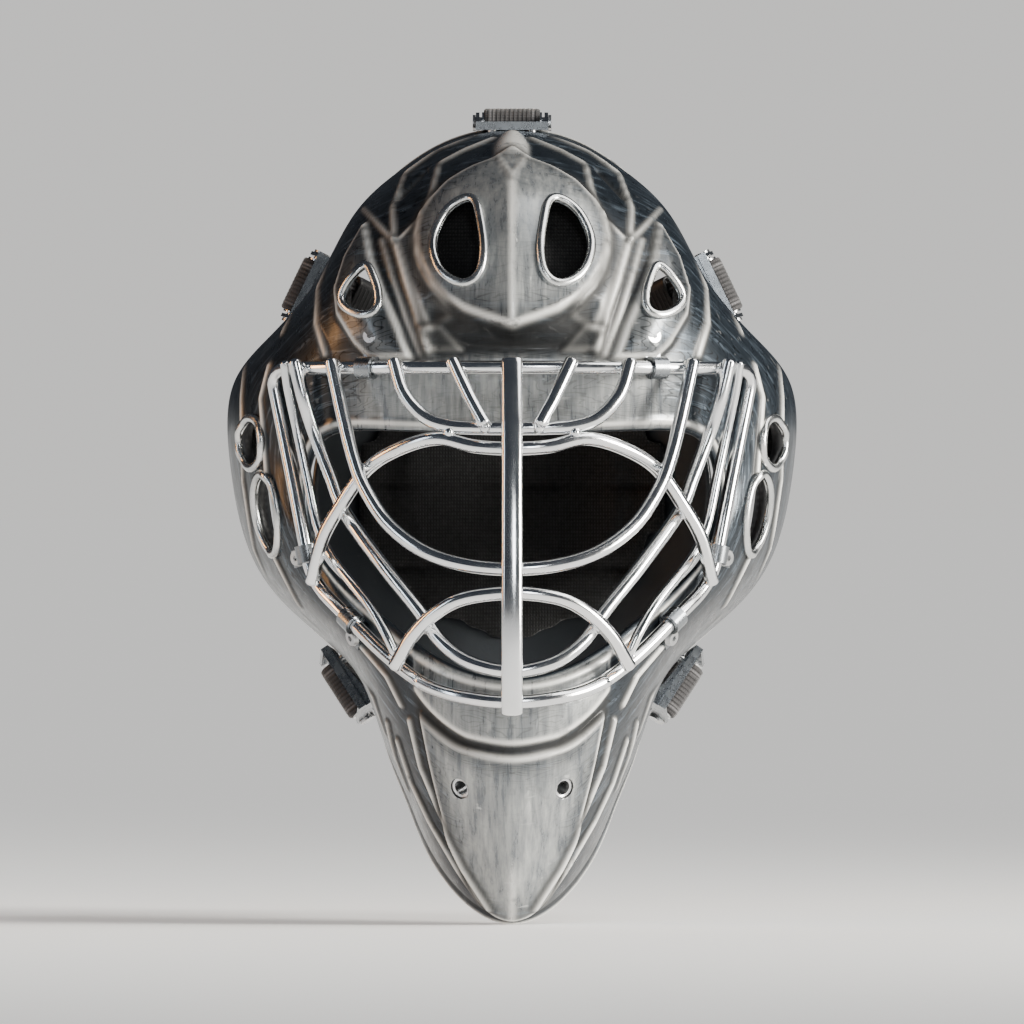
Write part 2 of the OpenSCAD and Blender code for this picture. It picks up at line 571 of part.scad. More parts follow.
// --- Back plate: a dished plate, widest at the middle ---
function plate_y(x, z) = PLATE_Y - x * x / (2 * PLATE_RX) - pow(z - PLATE_ZC, 2) / (2 * PLATE_RZ);
function plate_normal(x, z) = unit([x / PLATE_RX, 1, (z - PLATE_ZC) / PLATE_RZ]);
// Half width at height fraction f from -1 (bottom) to 1 (top)
function plate_half(f) = (45 + 36 * pow(1 - f * f, 1.5)) * sqrt(max(1 - pow(f, 8), 0)) + 2;
function plate_grid(depth, scale_by, nx, nz) = [for (i = [0:nx]) [for (k = [0:nz]) let (
        f = -cos(180 * k / nz), g = cos(180 * i / nx),
        z = PLATE_ZC + f * scale_by * plate_h / 2, x = g * scale_by * plate_half(f),
        p = [x, plate_y(x, z), z])
    p - depth * plate_normal(x, z)]];

// Strap route: free end, back to the roller, round it, and on to the plate
function on_plate(p, rise) = [p.x, plate_y(p.x, p.y), p.y] + rise * plate_normal(p.x, p.y);
function strap_end(a, t) = on_plate((1 - t) * a[4] + t * a[5], PLATE_GAP + strap_t / 2);
function strap_heading(a) = across(strap_end(a, 0) - pin_centre(a), anchor_across(a));
function strap_lift(a) = cross(anchor_across(a), strap_heading(a));
function hermite(p, q, m, n, t) = (2 * pow(t, 3) - 3 * t * t + 1) * p + (pow(t, 3) - 2 * t * t + t) * m
    + (3 * t * t - 2 * pow(t, 3)) * q + (pow(t, 3) - t * t) * n;
function strap_path(a) = let (c = pin_centre(a), d = strap_heading(a), m = strap_lift(a),
        top = c + WRAP_R * m, low = top - LAYER_GAP * m, start = top + d * FREE_END, end = strap_end(a, 0),
        reach = norm(end - start), settle = unit(strap_end(a, 1) - end) * reach)
    concat([low + d * FREE_END, low + d * (SLIDER_AT - 10)],
        [for (t = [-90:20:90]) c + WRAP_R * (sin(t) * m - cos(t) * d)],
        [top + d * (SLIDER_AT - 10)],
        [for (t = [0:4]) hermite(start, end, d * reach, settle, t / 5)],
        [for (t = [0:2]) strap_end(a, t / 2)]);
TURN_RINGS = 7;
// Width direction along a strap: the roller's axis, turning to lie on the plate over the last rings
function strap_wide(a) = let (n = len(strap_path(a)), w = anchor_across(a), mid = (a[4] + a[5]) / 2,
        q = unit(cross(plate_normal(mid.x, mid.y), strap_end(a, 1) - strap_end(a, 0))),
        s = q * w < 0 ? -q : q)
    [for (i = [0:n - 1]) unit(w + (s - w) * min(1, max(0, (i - n + TURN_RINGS) / (TURN_RINGS - 3))))];

module strap(a) {
    color("dimgray") resize([0, 0, 0]) difference() {
        loft(rings(strap_path(a), strap_wide(a), flat_section(strap_w, strap_t)));
        at_back_rivet(a) cylinder(h = 12, r = 2.6, center = true, $fn = 16);
    }
}
module strap_slider(a) {
    d = strap_heading(a);
    m = strap_lift(a);
    mid = pin_centre(a) + d * SLIDER_AT + (WRAP_R - LAYER_GAP / 2) * m;
    tall = LAYER_GAP + strap_t + 1;
    color("black") place(anchor_across(a), d, m, mid) {
        difference() {
            cube([strap_w + 6, SLIDER_L, tall + 3.2], center = true);
            cube([strap_w + 1.4, SLIDER_L + 2, tall], center = true);
        }
        cube([strap_w + 2, 5, 1.8], center = true);
    }
}
module strap_top() {
    strap(TOP);
}
module strap_upper_left() {
    strap(UPPER);
}
module strap_upper_right() {
    mirror([1, 0, 0]) strap_upper_left();
}
module strap_lower_left() {
    strap(LOWER);
}
module strap_lower_right() {
    mirror([1, 0, 0]) strap_lower_left();
}
module strap_slider_top() {
    strap_slider(TOP);
}
module strap_slider_upper_left() {
    strap_slider(UPPER);
}
module strap_slider_upper_right() {
    mirror([1, 0, 0]) strap_slider_upper_left();
}
module strap_slider_lower_left() {
    strap_slider(LOWER);
}
module strap_slider_lower_right() {
    mirror([1, 0, 0]) strap_slider_lower_left();
}
// Frame on the plate's outer face where a strap's rivet sits, z outwards
module at_back_rivet(a) {
    p = 0.35 * a[4] + 0.65 * a[5];
    n = plate_normal(p.x, p.y);
    x = across([1, 0, 0], n);
    place(x, cross(n, x), n, on_plate(p, 0)) children();
}
module all_back_rivets() {
    at_back_rivet(TOP) children();
    for (a = [UPPER, LOWER]) pair() at_back_rivet(a) children();
}
module back_plate() {
    color("dimgray") resize([0, 0, 0]) difference() {
        slab(plate_grid(0, 1, 16, 18), plate_grid(plate_t, 1, 16, 18));
        all_back_rivets() cylinder(h = 12, r = 2.3, center = true, $fn = 16);
    }
}
module back_pad() {
    near = plate_t + PAD_GAP;
    color("black") slab(plate_grid(near, 0.92, 12, 14), plate_grid(near + back_pad_t, 0.86, 12, 14));
}
module back_rivets() {
    head_at = PLATE_GAP + strap_t + 0.4;
    color("silver") all_back_rivets() {
        translate([0, 0, head_at]) cylinder(h = 1.6, r1 = 5.6, r2 = 4, $fn = 48);
        translate([0, 0, -plate_t - 1]) cylinder(h = plate_t + head_at + 1.1, r = 2, $fn = 32);
        translate([0, 0, -plate_t - 1.4]) cylinder(h = 0.8, r = 4, $fn = 32);
    }
}

// --- Chin sling: a dished cup and liner hung from two studs by webbing tabs with snap caps ---
// Point of the cup's surface, from the side (a) and from the front down to the underside (b)
function cup_at(a, b, depth) = CUP + [(CUP_R.x - depth) * sin(a) * cos(b),
    -(CUP_R.y - depth) * cos(a) * cos(b), -(CUP_R.z - depth) * sin(b)];
function cup_grid(depth, inset, na, nb) = [for (k = [0:nb]) [for (i = [0:na])
    cup_at((78 - inset) * (2 * i / na - 1), -14 + inset + (84 - 2 * inset) * k / nb, depth)]];
module chin_cup() {
    color("dimgray") slab(cup_grid(0, 0, 14, 8), cup_grid(CUP_T, 0, 14, 8));
}
module chin_liner() {
    color("black") slab(cup_grid(CUP_T + 0.4, 4, 12, 6), cup_grid(CUP_T + 0.4 + LINER_T, 6, 12, 6));
}
module chin_strap_left() {
    color("dimgray") translate(STUD) rotate([90, 0, 90]) linear_extrude(TAB_T) difference() {
        union() {
            circle(r = TAB_W / 2, $fn = 48);
            translate([-TAB_W / 2, -TAB_L]) square([TAB_W, TAB_L]);
        }
        circle(r = stud_d / 2 + 0.2, $fn = 48);
        translate([0, -TAB_L + 5]) circle(r = 1.6, $fn = 32);
    }
}
module chin_strap_right() {
    mirror([1, 0, 0]) chin_strap_left();
}
module chin_studs() {
    color("silver") pair() translate(STUD) rotate([0, 90, 0]) {
        translate([0, 0, -2]) cylinder(h = STUD_REACH, r = stud_d / 2, $fn = 48);
        translate([0, 0, TAB_T + 0.4]) cylinder(h = 1.4, r = 4.2, $fn = 48);
    }
}
module chin_snap_caps() {
    color("silver") pair() translate(STUD) rotate([0, 90, 0]) {
        difference() {
            translate([0, 0, -3.6]) cylinder(h = 3.5, r1 = 4.8, r2 = 6, $fn = 48);
            translate([0, 0, -2.3]) cylinder(h = 3, r = stud_d / 2 + running_fit, $fn = 48);
        }
        translate([TAB_L - 5, 0, -3.2]) cylinder(h = TAB_T + 3.6, r = 1.5, $fn = 32);
        translate([TAB_L - 5, 0, TAB_T + 0.1]) cylinder(h = 1, r = 3.6, $fn = 32);
    }
}

shell();
cage_rim();
cage_brow_bar();
cage_eye_bar();
cage_outer_bar();
cage_upper_arch();
cage_lower_arch();
cage_side_wire_left();
cage_side_wire_right();
cage_short_bar_left();
cage_short_bar_right();
cage_centre_bar();
cage_clips();
clip_screws();
clip_nuts();
lace_eyelet_left();
lace_eyelet_right();
brow_pad();
crown_pad();
temple_pad_left();
temple_pad_right();
jaw_pad_left();
jaw_pad_right();
strap_bracket_top();
strap_bracket_upper_left();
strap_bracket_upper_right();
strap_bracket_lower_left();
strap_bracket_lower_right();
roller_pins();
bracket_rivets();
strap_roller_top();
strap_roller_upper_left();
strap_roller_upper_right();
strap_roller_lower_left();
strap_roller_lower_right();
strap_top();
strap_upper_left();
strap_upper_right();
strap_lower_left();
strap_lower_right();
strap_slider_top();
strap_slider_upper_left();
strap_slider_upper_right();
strap_slider_lower_left();
strap_slider_lower_right();
back_plate();
back_pad();
back_rivets();
chin_cup();
chin_liner();
chin_strap_left();
chin_strap_right();
chin_studs();
chin_snap_caps();
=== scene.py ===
"""Looks of the goalie mask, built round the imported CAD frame.

Positions in the shell, cage, harness and chin sections are millimetres in the CAD's own frame:
origin at the centre of the head, -Y forward, +X the wearer's left, +Z up. Meshes are scaled to metres.
"""

import json
import math

import bpy
import numpy as np
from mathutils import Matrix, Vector
from mathutils.bvhtree import BVHTree
from mathutils.kdtree import KDTree


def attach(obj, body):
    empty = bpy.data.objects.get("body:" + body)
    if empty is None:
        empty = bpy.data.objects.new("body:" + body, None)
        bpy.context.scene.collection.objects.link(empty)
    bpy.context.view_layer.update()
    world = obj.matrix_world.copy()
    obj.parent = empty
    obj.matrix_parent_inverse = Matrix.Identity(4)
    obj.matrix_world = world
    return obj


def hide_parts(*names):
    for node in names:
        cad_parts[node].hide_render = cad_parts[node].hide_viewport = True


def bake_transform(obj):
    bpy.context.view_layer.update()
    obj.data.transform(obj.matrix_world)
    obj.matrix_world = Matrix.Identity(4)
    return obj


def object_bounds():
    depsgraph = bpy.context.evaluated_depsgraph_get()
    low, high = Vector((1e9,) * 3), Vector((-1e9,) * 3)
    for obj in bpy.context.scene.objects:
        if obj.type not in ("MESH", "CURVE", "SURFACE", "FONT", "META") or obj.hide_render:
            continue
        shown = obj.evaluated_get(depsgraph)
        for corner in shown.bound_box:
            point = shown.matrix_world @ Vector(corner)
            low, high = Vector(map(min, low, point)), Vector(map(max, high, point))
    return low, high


MM = 0.001
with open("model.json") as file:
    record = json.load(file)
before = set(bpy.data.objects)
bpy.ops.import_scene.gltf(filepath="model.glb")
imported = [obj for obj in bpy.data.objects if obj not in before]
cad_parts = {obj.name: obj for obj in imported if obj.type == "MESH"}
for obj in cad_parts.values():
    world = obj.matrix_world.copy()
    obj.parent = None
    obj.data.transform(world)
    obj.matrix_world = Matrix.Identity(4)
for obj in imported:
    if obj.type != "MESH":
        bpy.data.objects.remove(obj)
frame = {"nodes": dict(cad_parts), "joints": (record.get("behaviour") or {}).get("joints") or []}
cad_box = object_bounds()
joints = {j["name"]: j for j in frame["joints"]}


# ---- vectors
def unit(v):
    v = np.asarray(v, float)
    return v / np.maximum(np.linalg.norm(v, axis=-1, keepdims=True), 1e-12)


def smooth(low, high, value):
    t = np.clip((value - low) / (high - low), 0, 1)
    return t * t * (3 - 2 * t)


def bell(value, width):
    return np.exp(-((value / width) ** 2))


def mirror_x(points):
    return np.asarray(points, float) * np.array([-1.0, 1.0, 1.0])


# ---- mesh building
def piece(name, vertices, faces, material, flat=False):
    """New object from vertices in mm."""
    mesh = bpy.data.meshes.new(name)
    mesh.from_pydata((np.asarray(vertices, float) * MM).tolist(), [], [list(f) for f in faces])
    mesh.validate()
    mesh.materials.append(material)
    if not flat:
        mesh.shade_smooth()
    thing = bpy.data.objects.new(name, mesh)
    bpy.context.scene.collection.objects.link(thing)
    return thing


def fit(thing, body, slot, *nodes):
    """The piece rides on a body and stands for the CAD nodes named, which are hidden. slot is not used."""
    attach(thing, body)
    if nodes:
        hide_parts(*nodes)
    return thing


def ring_faces(count, size, closed=False, clockwise=False):
    """Quads between rings of points that turn anticlockwise or clockwise about the way the rings go."""
    faces = []
    for i in range(count if closed else count - 1):
        a, b = i * size, (i + 1) % count * size
        for j in range(size):
            k = (j + 1) % size
            faces.append((a + j, b + j, b + k, a + k) if clockwise else (a + j, a + k, b + k, b + j))
    return faces


def slab_faces(rows, cols):
    """Faces of a closed slab whose two skins are grids of rows by cols points, one after the other."""
    index = np.arange(rows * cols).reshape(rows, cols)
    faces = []
    for i in range(rows - 1):
        for j in range(cols - 1):
            quad = (index[i, j], index[i + 1, j], index[i + 1, j + 1], index[i, j + 1])
            faces.append(quad)
            faces.append(tuple(k + rows * cols for k in quad[::-1]))
    rim = [*index[:, 0], *index[-1, 1:], *index[-2::-1, -1], *index[0, -2:0:-1]]
    for a, b in zip(rim, rim[1:] + rim[:1]):
        faces.append((b, a, a + rows * cols, b + rows * cols))
    return faces


class Parts:
    """Collects several lofts into one mesh."""

    def __init__(self):
        self.vertices = []
        self.faces = []

    def add(self, vertices, faces):
        start = len(self.vertices)
        self.vertices.extend(np.asarray(vertices, float).reshape(-1, 3).tolist())
        self.faces.extend([tuple(start + i for i in f) for f in faces])

    def loft(self, rings, closed=False):
        rings = np.asarray(rings, float)
        count, size = rings.shape[:2]
        faces = ring_faces(count, size, closed)
        if not closed:
            faces.append(tuple(range(size - 1, -1, -1)))
            faces.append(tuple((count - 1) * size + j for j in range(size)))
        self.add(rings.reshape(-1, 3), faces)

    def make(self, name, material):
        return piece(name, self.vertices, self.faces, material)


def coordinates(thing):
    """Vertices in mm."""
    found = np.empty(len(thing.data.vertices) * 3)
    thing.data.vertices.foreach_get("co", found)
    return found.reshape(-1, 3) / MM


def move_to(thing, points):
    thing.data.vertices.foreach_set("co", (points * MM).ravel())
    thing.data.update()


def set_attribute(thing, name, values):
    layer = thing.data.attributes.new(name, "FLOAT", "POINT")
    layer.data.foreach_set("value", np.asarray(values, np.float32))


def catmull(points, steps):
    """Smooth curve through points, the same form as the CAD's."""
    p = np.asarray(points, float)
    e = np.concatenate([[2 * p[0] - p[1]], p, [2 * p[-1] - p[-2]]])
    t = (np.arange(steps) / steps)[:, None]
    out = []
    for i in range(len(p) - 1):
        a, b, c, d = e[i : i + 4]
        bend, twist = 2 * a - 5 * b + 4 * c - d, 3 * b - a - 3 * c + d
        out.append((2 * b + (c - a) * t + bend * t**2 + twist * t**3) / 2)
    return np.concatenate([*out, p[-1:]])


def even(points, gap, closed=False):
    """The same line with points about gap apart."""
    p = np.asarray(points, float)
    if closed:
        p = np.concatenate([p, p[:1]])
    run = np.concatenate([[0], np.cumsum(np.linalg.norm(np.diff(p, axis=0), axis=1))])
    count = max(3, int(round(run[-1] / gap)) + 1)
    at = np.linspace(0, run[-1], count)
    q = np.stack([np.interp(at, run, p[:, k]) for k in range(p.shape[1])], -1)
    return q[:-1] if closed else q


def headings(path, closed=False):
    if closed:
        return unit(np.roll(path, -1, 0) - np.roll(path, 1, 0))
    ends = np.concatenate([path[:1], path, path[-1:]])
    return unit(ends[2:] - ends[:-2])


def frames(path, wide, closed=False):
    """Side and up directions along a path, with the side as near to wide as it can be."""
    t = headings(path, closed)
    wide = np.broadcast_to(np.asarray(wide, float), path.shape)
    side = unit(wide - (wide * t).sum(1)[:, None] * t)
    return side, np.cross(t, side)


def sweep(path, wide, section, closed=False):
    """Rings of a section, a list of (side, up), along a path. section may hold one outline per point."""
    side, up = frames(path, wide, closed)
    section = np.broadcast_to(np.asarray(section, float), (len(path),) + np.shape(section)[-2:])
    return path[:, None] + section[..., :1] * side[:, None] + section[..., 1:] * up[:, None]


def rounded_bar(width, height, power, sides):
    """Outline between an ellipse (power 2) and a rectangle (large power)."""
    a = np.arange(sides) * 2 * math.pi / sides
    outline = np.stack([np.cos(a), np.sin(a)], -1)
    return np.array([width / 2, height / 2]) * np.sign(outline) * np.abs(outline) ** (2 / power)


def circle(radius, sides):
    return rounded_bar(2 * radius, 2 * radius, 2, sides)


DOME_STEPS = np.radians([15, 35, 55, 75, 88])


def round_ends(path, section, wide, cap):
    """Rings of an open bar whose ends are domes cap long."""
    t = headings(path)
    angles = DOME_STEPS
    first = [path[0] - t[0] * cap * math.sin(a) for a in angles[::-1]]
    last = [path[-1] + t[-1] * cap * math.sin(a) for a in angles]
    line = np.concatenate([first, path, last])
    size = np.concatenate([np.cos(angles[::-1]), np.ones(len(path)), np.cos(angles)])
    return sweep(line, np.asarray(wide, float), size[:, None, None] * np.asarray(section, float)[None])


# ---- node materials
class Nodes:
    """Short way to write a material's node tree."""

    def __init__(self, name):
        self.material = bpy.data.materials.new(name)
        self.material.use_nodes = True
        self.tree = self.material.node_tree
        self.shader = self.tree.nodes["Principled BSDF"]
        self.coords = self.new("ShaderNodeTexCoord").outputs["Object"]

    def new(self, kind, **settings):
        node = self.tree.nodes.new(kind)
        for key, value in settings.items():
            setattr(node, key, value)
        return node

    def link(self, value, socket):
        if isinstance(value, bpy.types.NodeSocket):
            self.tree.links.new(value, socket)
        elif socket.type == "RGBA" and len(value) == 3:
            socket.default_value = (*value, 1)
        else:
            socket.default_value = value

    def stretched(self, scale, of=None):
        node = self.new("ShaderNodeMapping")
        self.link(of or self.coords, node.inputs["Vector"])
        node.inputs["Scale"].default_value = scale
        return node.outputs["Vector"]

    def texture(self, kind, output, at, numbers, **settings):
        node = self.new("ShaderNodeTex" + kind, **settings)
        self.link(at or self.coords, node.inputs["Vector"])
        for socket, number in numbers.items():
            node.inputs[socket].default_value = number
        return node.outputs[output]

    def noise(self, scale, detail=3.0, rough=0.55, at=None, distortion=0.0):
        numbers = {"Scale": scale, "Detail": detail, "Roughness": rough, "Distortion": distortion}
        return self.texture("Noise", "Fac", at, numbers)

    def cells(self, scale):
        return self.texture("Voronoi", "Distance", None, {"Scale": scale})

    def wave(self, scale, direction, distortion=0.0):
        numbers = {"Scale": scale, "Distortion": distortion}
        return self.texture("Wave", "Fac", None, numbers, bands_direction=direction)

    def remap(self, value, low, high, to_low=0.0, to_high=1.0):
        node = self.new("ShaderNodeMapRange")
        self.link(value, node.inputs["Value"])
        for key, number in zip(("From Min", "From Max", "To Min", "To Max"), (low, high, to_low, to_high)):
            node.inputs[key].default_value = number
        return node.outputs["Result"]

    def maths(self, operation, a, b=0.0):
        node = self.new("ShaderNodeMath", operation=operation)
        self.link(a, node.inputs[0])
        self.link(b, node.inputs[1])
        return node.outputs["Value"]

    def times(self, a, b):
        return self.maths("MULTIPLY", a, b)

    def waves(self, value, phase):
        """Rows of rounded ridges: the absolute sine of value times phase."""
        return self.maths("ABSOLUTE", self.maths("SINE", self.times(value, phase)))

    def mix(self, factor, a, b):
        node = self.new("ShaderNodeMix", data_type="RGBA")
        self.link(factor, node.inputs[0])
        self.link(a, node.inputs[6])
        self.link(b, node.inputs[7])
        return node.outputs[2]

    def attribute(self, name):
        return self.new("ShaderNodeAttribute", attribute_name=name).outputs["Fac"]

    def bump(self, height, strength, distance, before=None):
        node = self.new("ShaderNodeBump")
        node.inputs["Strength"].default_value = strength
        node.inputs["Distance"].default_value = distance
        self.link(height, node.inputs["Height"])
        if before is not None:
            self.link(before, node.inputs["Normal"])
        return node.outputs["Normal"]

    def finish(self, inputs):
        for name, value in inputs.items():
            self.link(value, self.shader.inputs[name])
        return self.material


def scratches(n, scale, stretch):
    """Thin straight marks along one stretched direction: 1 on a mark."""
    return n.remap(n.noise(scale, 2, 0.5, n.stretched(stretch)), 0.68, 0.72)


def cloudy(n, base, scale, span, amount, color):
    """base with soft patches of another colour, up to amount, where noise is within span."""
    return n.mix(n.remap(n.noise(scale, 4), *span, 0, amount), base, color)


def shell_paint():
    """Gunmetal: brushed silver on the raised plates, near black elsewhere, crests near white from wear and
    painted highlight, creases and recesses near black as painted shade.
    """
    n = Nodes("shell_finish")
    crest, painted_shade, bright = n.attribute("crest"), n.attribute("painted_shade"), n.attribute("bright")
    flow = n.new("ShaderNodeAttribute", attribute_name="flow").outputs["Vector"]
    cloud = n.noise(14, 5, 0.6)
    brushed = n.noise(60, 4, 0.65, n.stretched((6, 2, 0.5)))
    strokes = n.remap(n.noise(1.0, 4, 0.6, n.stretched((0.9, 9, 1), flow)), 0.52, 0.72)
    drift = n.noise(1.0, 3, 0.5, n.stretched((0.5, 1.9, 1), flow), 0.4)
    contour = n.waves(drift, math.pi * 19)
    ink = n.times(n.remap(contour, 0.42, 0.14), n.remap(cloud, 0.34, 0.50))
    dark = n.mix(cloud, (0.005, 0.007, 0.010), (0.040, 0.052, 0.066))
    dark = n.mix(strokes, dark, (0.13, 0.165, 0.205))
    silver = n.mix(n.remap(brushed, 0.25, 0.78), (0.10, 0.115, 0.135), (0.52, 0.53, 0.515))
    silver = n.mix(n.remap(cloud, 0.52, 0.72, 0, 0.6), silver, (0.07, 0.088, 0.105))
    base = n.mix(bright, dark, silver)
    base = n.mix(n.times(ink, n.remap(bright, 0, 1, 0.95, 0.12)), base, (0.003, 0.004, 0.005))
    # Crests near white in patches: edge wear and painted highlight
    worn_and_highlit = n.times(crest, n.remap(n.noise(90, 4, 0.7), 0.22, 0.42))
    base = n.mix(worn_and_highlit, base, (0.94, 0.93, 0.89))
    marks = n.maths("MAXIMUM", scratches(n, 30, (9, 9, 0.7)), scratches(n, 26, (0.8, 8, 9)))
    marks = n.times(marks, n.remap(n.noise(9, 2), 0.5, 0.62))
    marks = n.times(marks, n.remap(bright, 0, 1, 0.3, 1.0))
    base = n.mix(n.times(marks, 0.8), base, (0.72, 0.73, 0.72))
    # Painted shade: near black in creases, beside plates and ridges, and in recesses
    base = n.mix(painted_shade, base, (0.002, 0.0025, 0.003))
    rough = n.remap(brushed, 0.3, 0.7, 0.24, 0.38)
    rough = n.maths("ADD", rough, n.times(painted_shade, 0.45))
    normal = n.bump(brushed, 0.10, 0.0006)
    normal = n.bump(strokes, 0.12, 0.0004, normal)
    normal = n.bump(marks, 0.35, -0.0002, normal)
    metal = n.remap(bright, 0, 1, 0.60, 0.50)
    metal = n.maths("SUBTRACT", metal, n.times(n.maths("MAXIMUM", painted_shade, worn_and_highlit), 0.5))
    coat = {"Coat Weight": 0.18, "Coat Roughness": 0.12}
    return n.finish({"Base Color": base, "Metallic": metal, "Roughness": rough, "Normal": normal, **coat})


def bare_metal(name, color, rough, grain, stretch=(1, 1, 1), dull=(0.5, 0.5, 0.5), wear=0.25):
    """Steel with a drawn or brushed grain, dulled in patches."""
    n = Nodes(name)
    lines = n.noise(grain, 3, 0.6, n.stretched(stretch))
    smudge = n.noise(35, 3, 0.6)
    base = n.mix(n.remap(smudge, 0.45, 0.75, 0, wear), color, dull)
    rough = n.remap(lines, 0.2, 0.8, rough * 0.75, rough * 1.35)
    normal = n.bump(lines, 0.12, 0.0002)
    return n.finish({"Base Color": base, "Metallic": 1.0, "Roughness": rough, "Normal": normal})


def knit(name, color, light):
    """Soft knitted cover over foam."""
    n = Nodes(name)
    loops = n.times(n.wave(260, "X", 1.2), n.wave(210, "Z", 1.2))
    fuzz = n.noise(420, 3, 0.7)
    base = cloudy(n, n.mix(n.remap(loops, 0.0, 0.8), color, light), 28, (0.4, 0.8), 0.35, light)
    base = n.mix(n.times(n.attribute("seam"), 0.7), base, (0.004, 0.004, 0.005))
    rough = n.remap(fuzz, 0.3, 0.7, 0.82, 0.98)
    normal = n.bump(fuzz, 0.25, 0.0003, n.bump(loops, 0.5, 0.0006))
    sheen = {"Sheen Weight": 0.2, "Sheen Roughness": 0.45}
    return n.finish({"Base Color": base, "Roughness": rough, "Normal": normal, **sheen})


WEBBING_RIBS = 13


def webbing(name, color, light):
    """Elastic webbing: ribs from the across attribute, a weft from the along attribute."""
    n = Nodes(name)
    across, along = n.attribute("across"), n.attribute("along")
    rib = n.waves(across, math.pi * WEBBING_RIBS)
    weft = n.waves(along, math.pi / 1.1)
    thread = n.times(rib, n.remap(weft, 0, 1, 0.75, 1.0))
    from_middle = n.maths("ABSOLUTE", n.maths("SUBTRACT", across, 0.5))
    stripe = n.times(n.remap(from_middle, 0.30, 0.34), n.remap(from_middle, 0.41, 0.38))
    base = n.mix(n.remap(thread, 0.1, 0.95), (0.005, 0.005, 0.006), n.mix(stripe, color, light))
    base = cloudy(n, base, 60, (0.55, 0.8), 0.3, light)
    rough = n.remap(n.noise(90, 3), 0.3, 0.7, 0.62, 0.85)
    normal = n.bump(n.noise(700, 2, 0.7), 0.2, 0.0002, n.bump(thread, 0.6, 0.0006))
    sheen = {"Sheen Weight": 0.5, "Sheen Roughness": 0.4}
    return n.finish({"Base Color": base, "Roughness": rough, "Normal": normal, **sheen})


def moulded(name, color, light, rough, grain=900.0, wear=0.35, coat=0.0):
    """Injection-moulded plastic with a fine grain and scuffs."""
    n = Nodes(name)
    speck = n.cells(grain)
    scuff = n.times(scratches(n, 34, (7, 1, 7)), n.remap(n.noise(12, 3), 0.45, 0.65))
    base = n.mix(n.times(scuff, wear), n.mix(n.noise(18, 4), color, light), (0.35, 0.35, 0.36))
    rough = n.remap(n.noise(40, 3), 0.3, 0.7, rough * 0.85, rough * 1.2)
    normal = n.bump(scuff, 0.2, -0.0002, n.bump(speck, 0.16, 0.0003))
    coating = {"Coat Weight": coat, "Coat Roughness": 0.25}
    return n.finish({"Base Color": base, "Roughness": rough, "Normal": normal, **coating})


def interior():
    """Bare moulded inner face of the shell, with the weave of the laminate just showing."""
    n = Nodes("shell_inside")
    weave = n.times(n.wave(110, "X"), n.wave(110, "Z"))
    base = n.mix(n.noise(20, 4), (0.008, 0.008, 0.009), (0.022, 0.023, 0.025))
    rough = n.remap(weave, 0, 1, 0.45, 0.7)
    return n.finish({"Base Color": base, "Roughness": rough, "Normal": n.bump(weave, 0.2, 0.0004)})


PAINT = shell_paint()
INSIDE = interior()
WIRE = bare_metal("cage_wire", (0.93, 0.94, 0.95), 0.16, 240, (1, 1, 0.2), (0.62, 0.64, 0.66), 0.35)
BEAD = bare_metal("vent_bead", (0.80, 0.81, 0.80), 0.24, 160, (1, 1, 1), (0.30, 0.32, 0.34), 0.8)
BRACKET = bare_metal("bracket_steel", (0.30, 0.32, 0.34), 0.26, 180, (1, 8, 1), (0.12, 0.125, 0.13), 0.6)
ROLLER = bare_metal("roller_steel", (0.72, 0.73, 0.74), 0.22, 300, (8, 1, 1))
FASTENER = bare_metal("fastener_steel", (0.62, 0.63, 0.64), 0.28, 220, (1, 1, 1), (0.3, 0.3, 0.3), 0.5)
EYELET = bare_metal("eyelet_metal", (0.70, 0.71, 0.72), 0.30, 260)
KNIT = knit("pad_cloth", (0.005, 0.0055, 0.006), (0.013, 0.0135, 0.015))
LINER = knit("liner_cloth", (0.028, 0.029, 0.032), (0.09, 0.092, 0.10))
WEBBING = webbing("webbing", (0.030, 0.028, 0.030), (0.13, 0.125, 0.13))
SLIDER = moulded("slider_plastic", (0.012, 0.012, 0.013), (0.03, 0.03, 0.032), 0.42)
PLATE = moulded("plate_plastic", (0.018, 0.021, 0.025), (0.050, 0.057, 0.065), 0.34, 700, 0.15, 0.3)
CUP = moulded("cup_plastic", (0.03, 0.031, 0.034), (0.07, 0.072, 0.078), 0.5)
THREAD = moulded("sewing_thread", (0.10, 0.10, 0.11), (0.26, 0.26, 0.27), 0.7, 2200, 0.0)


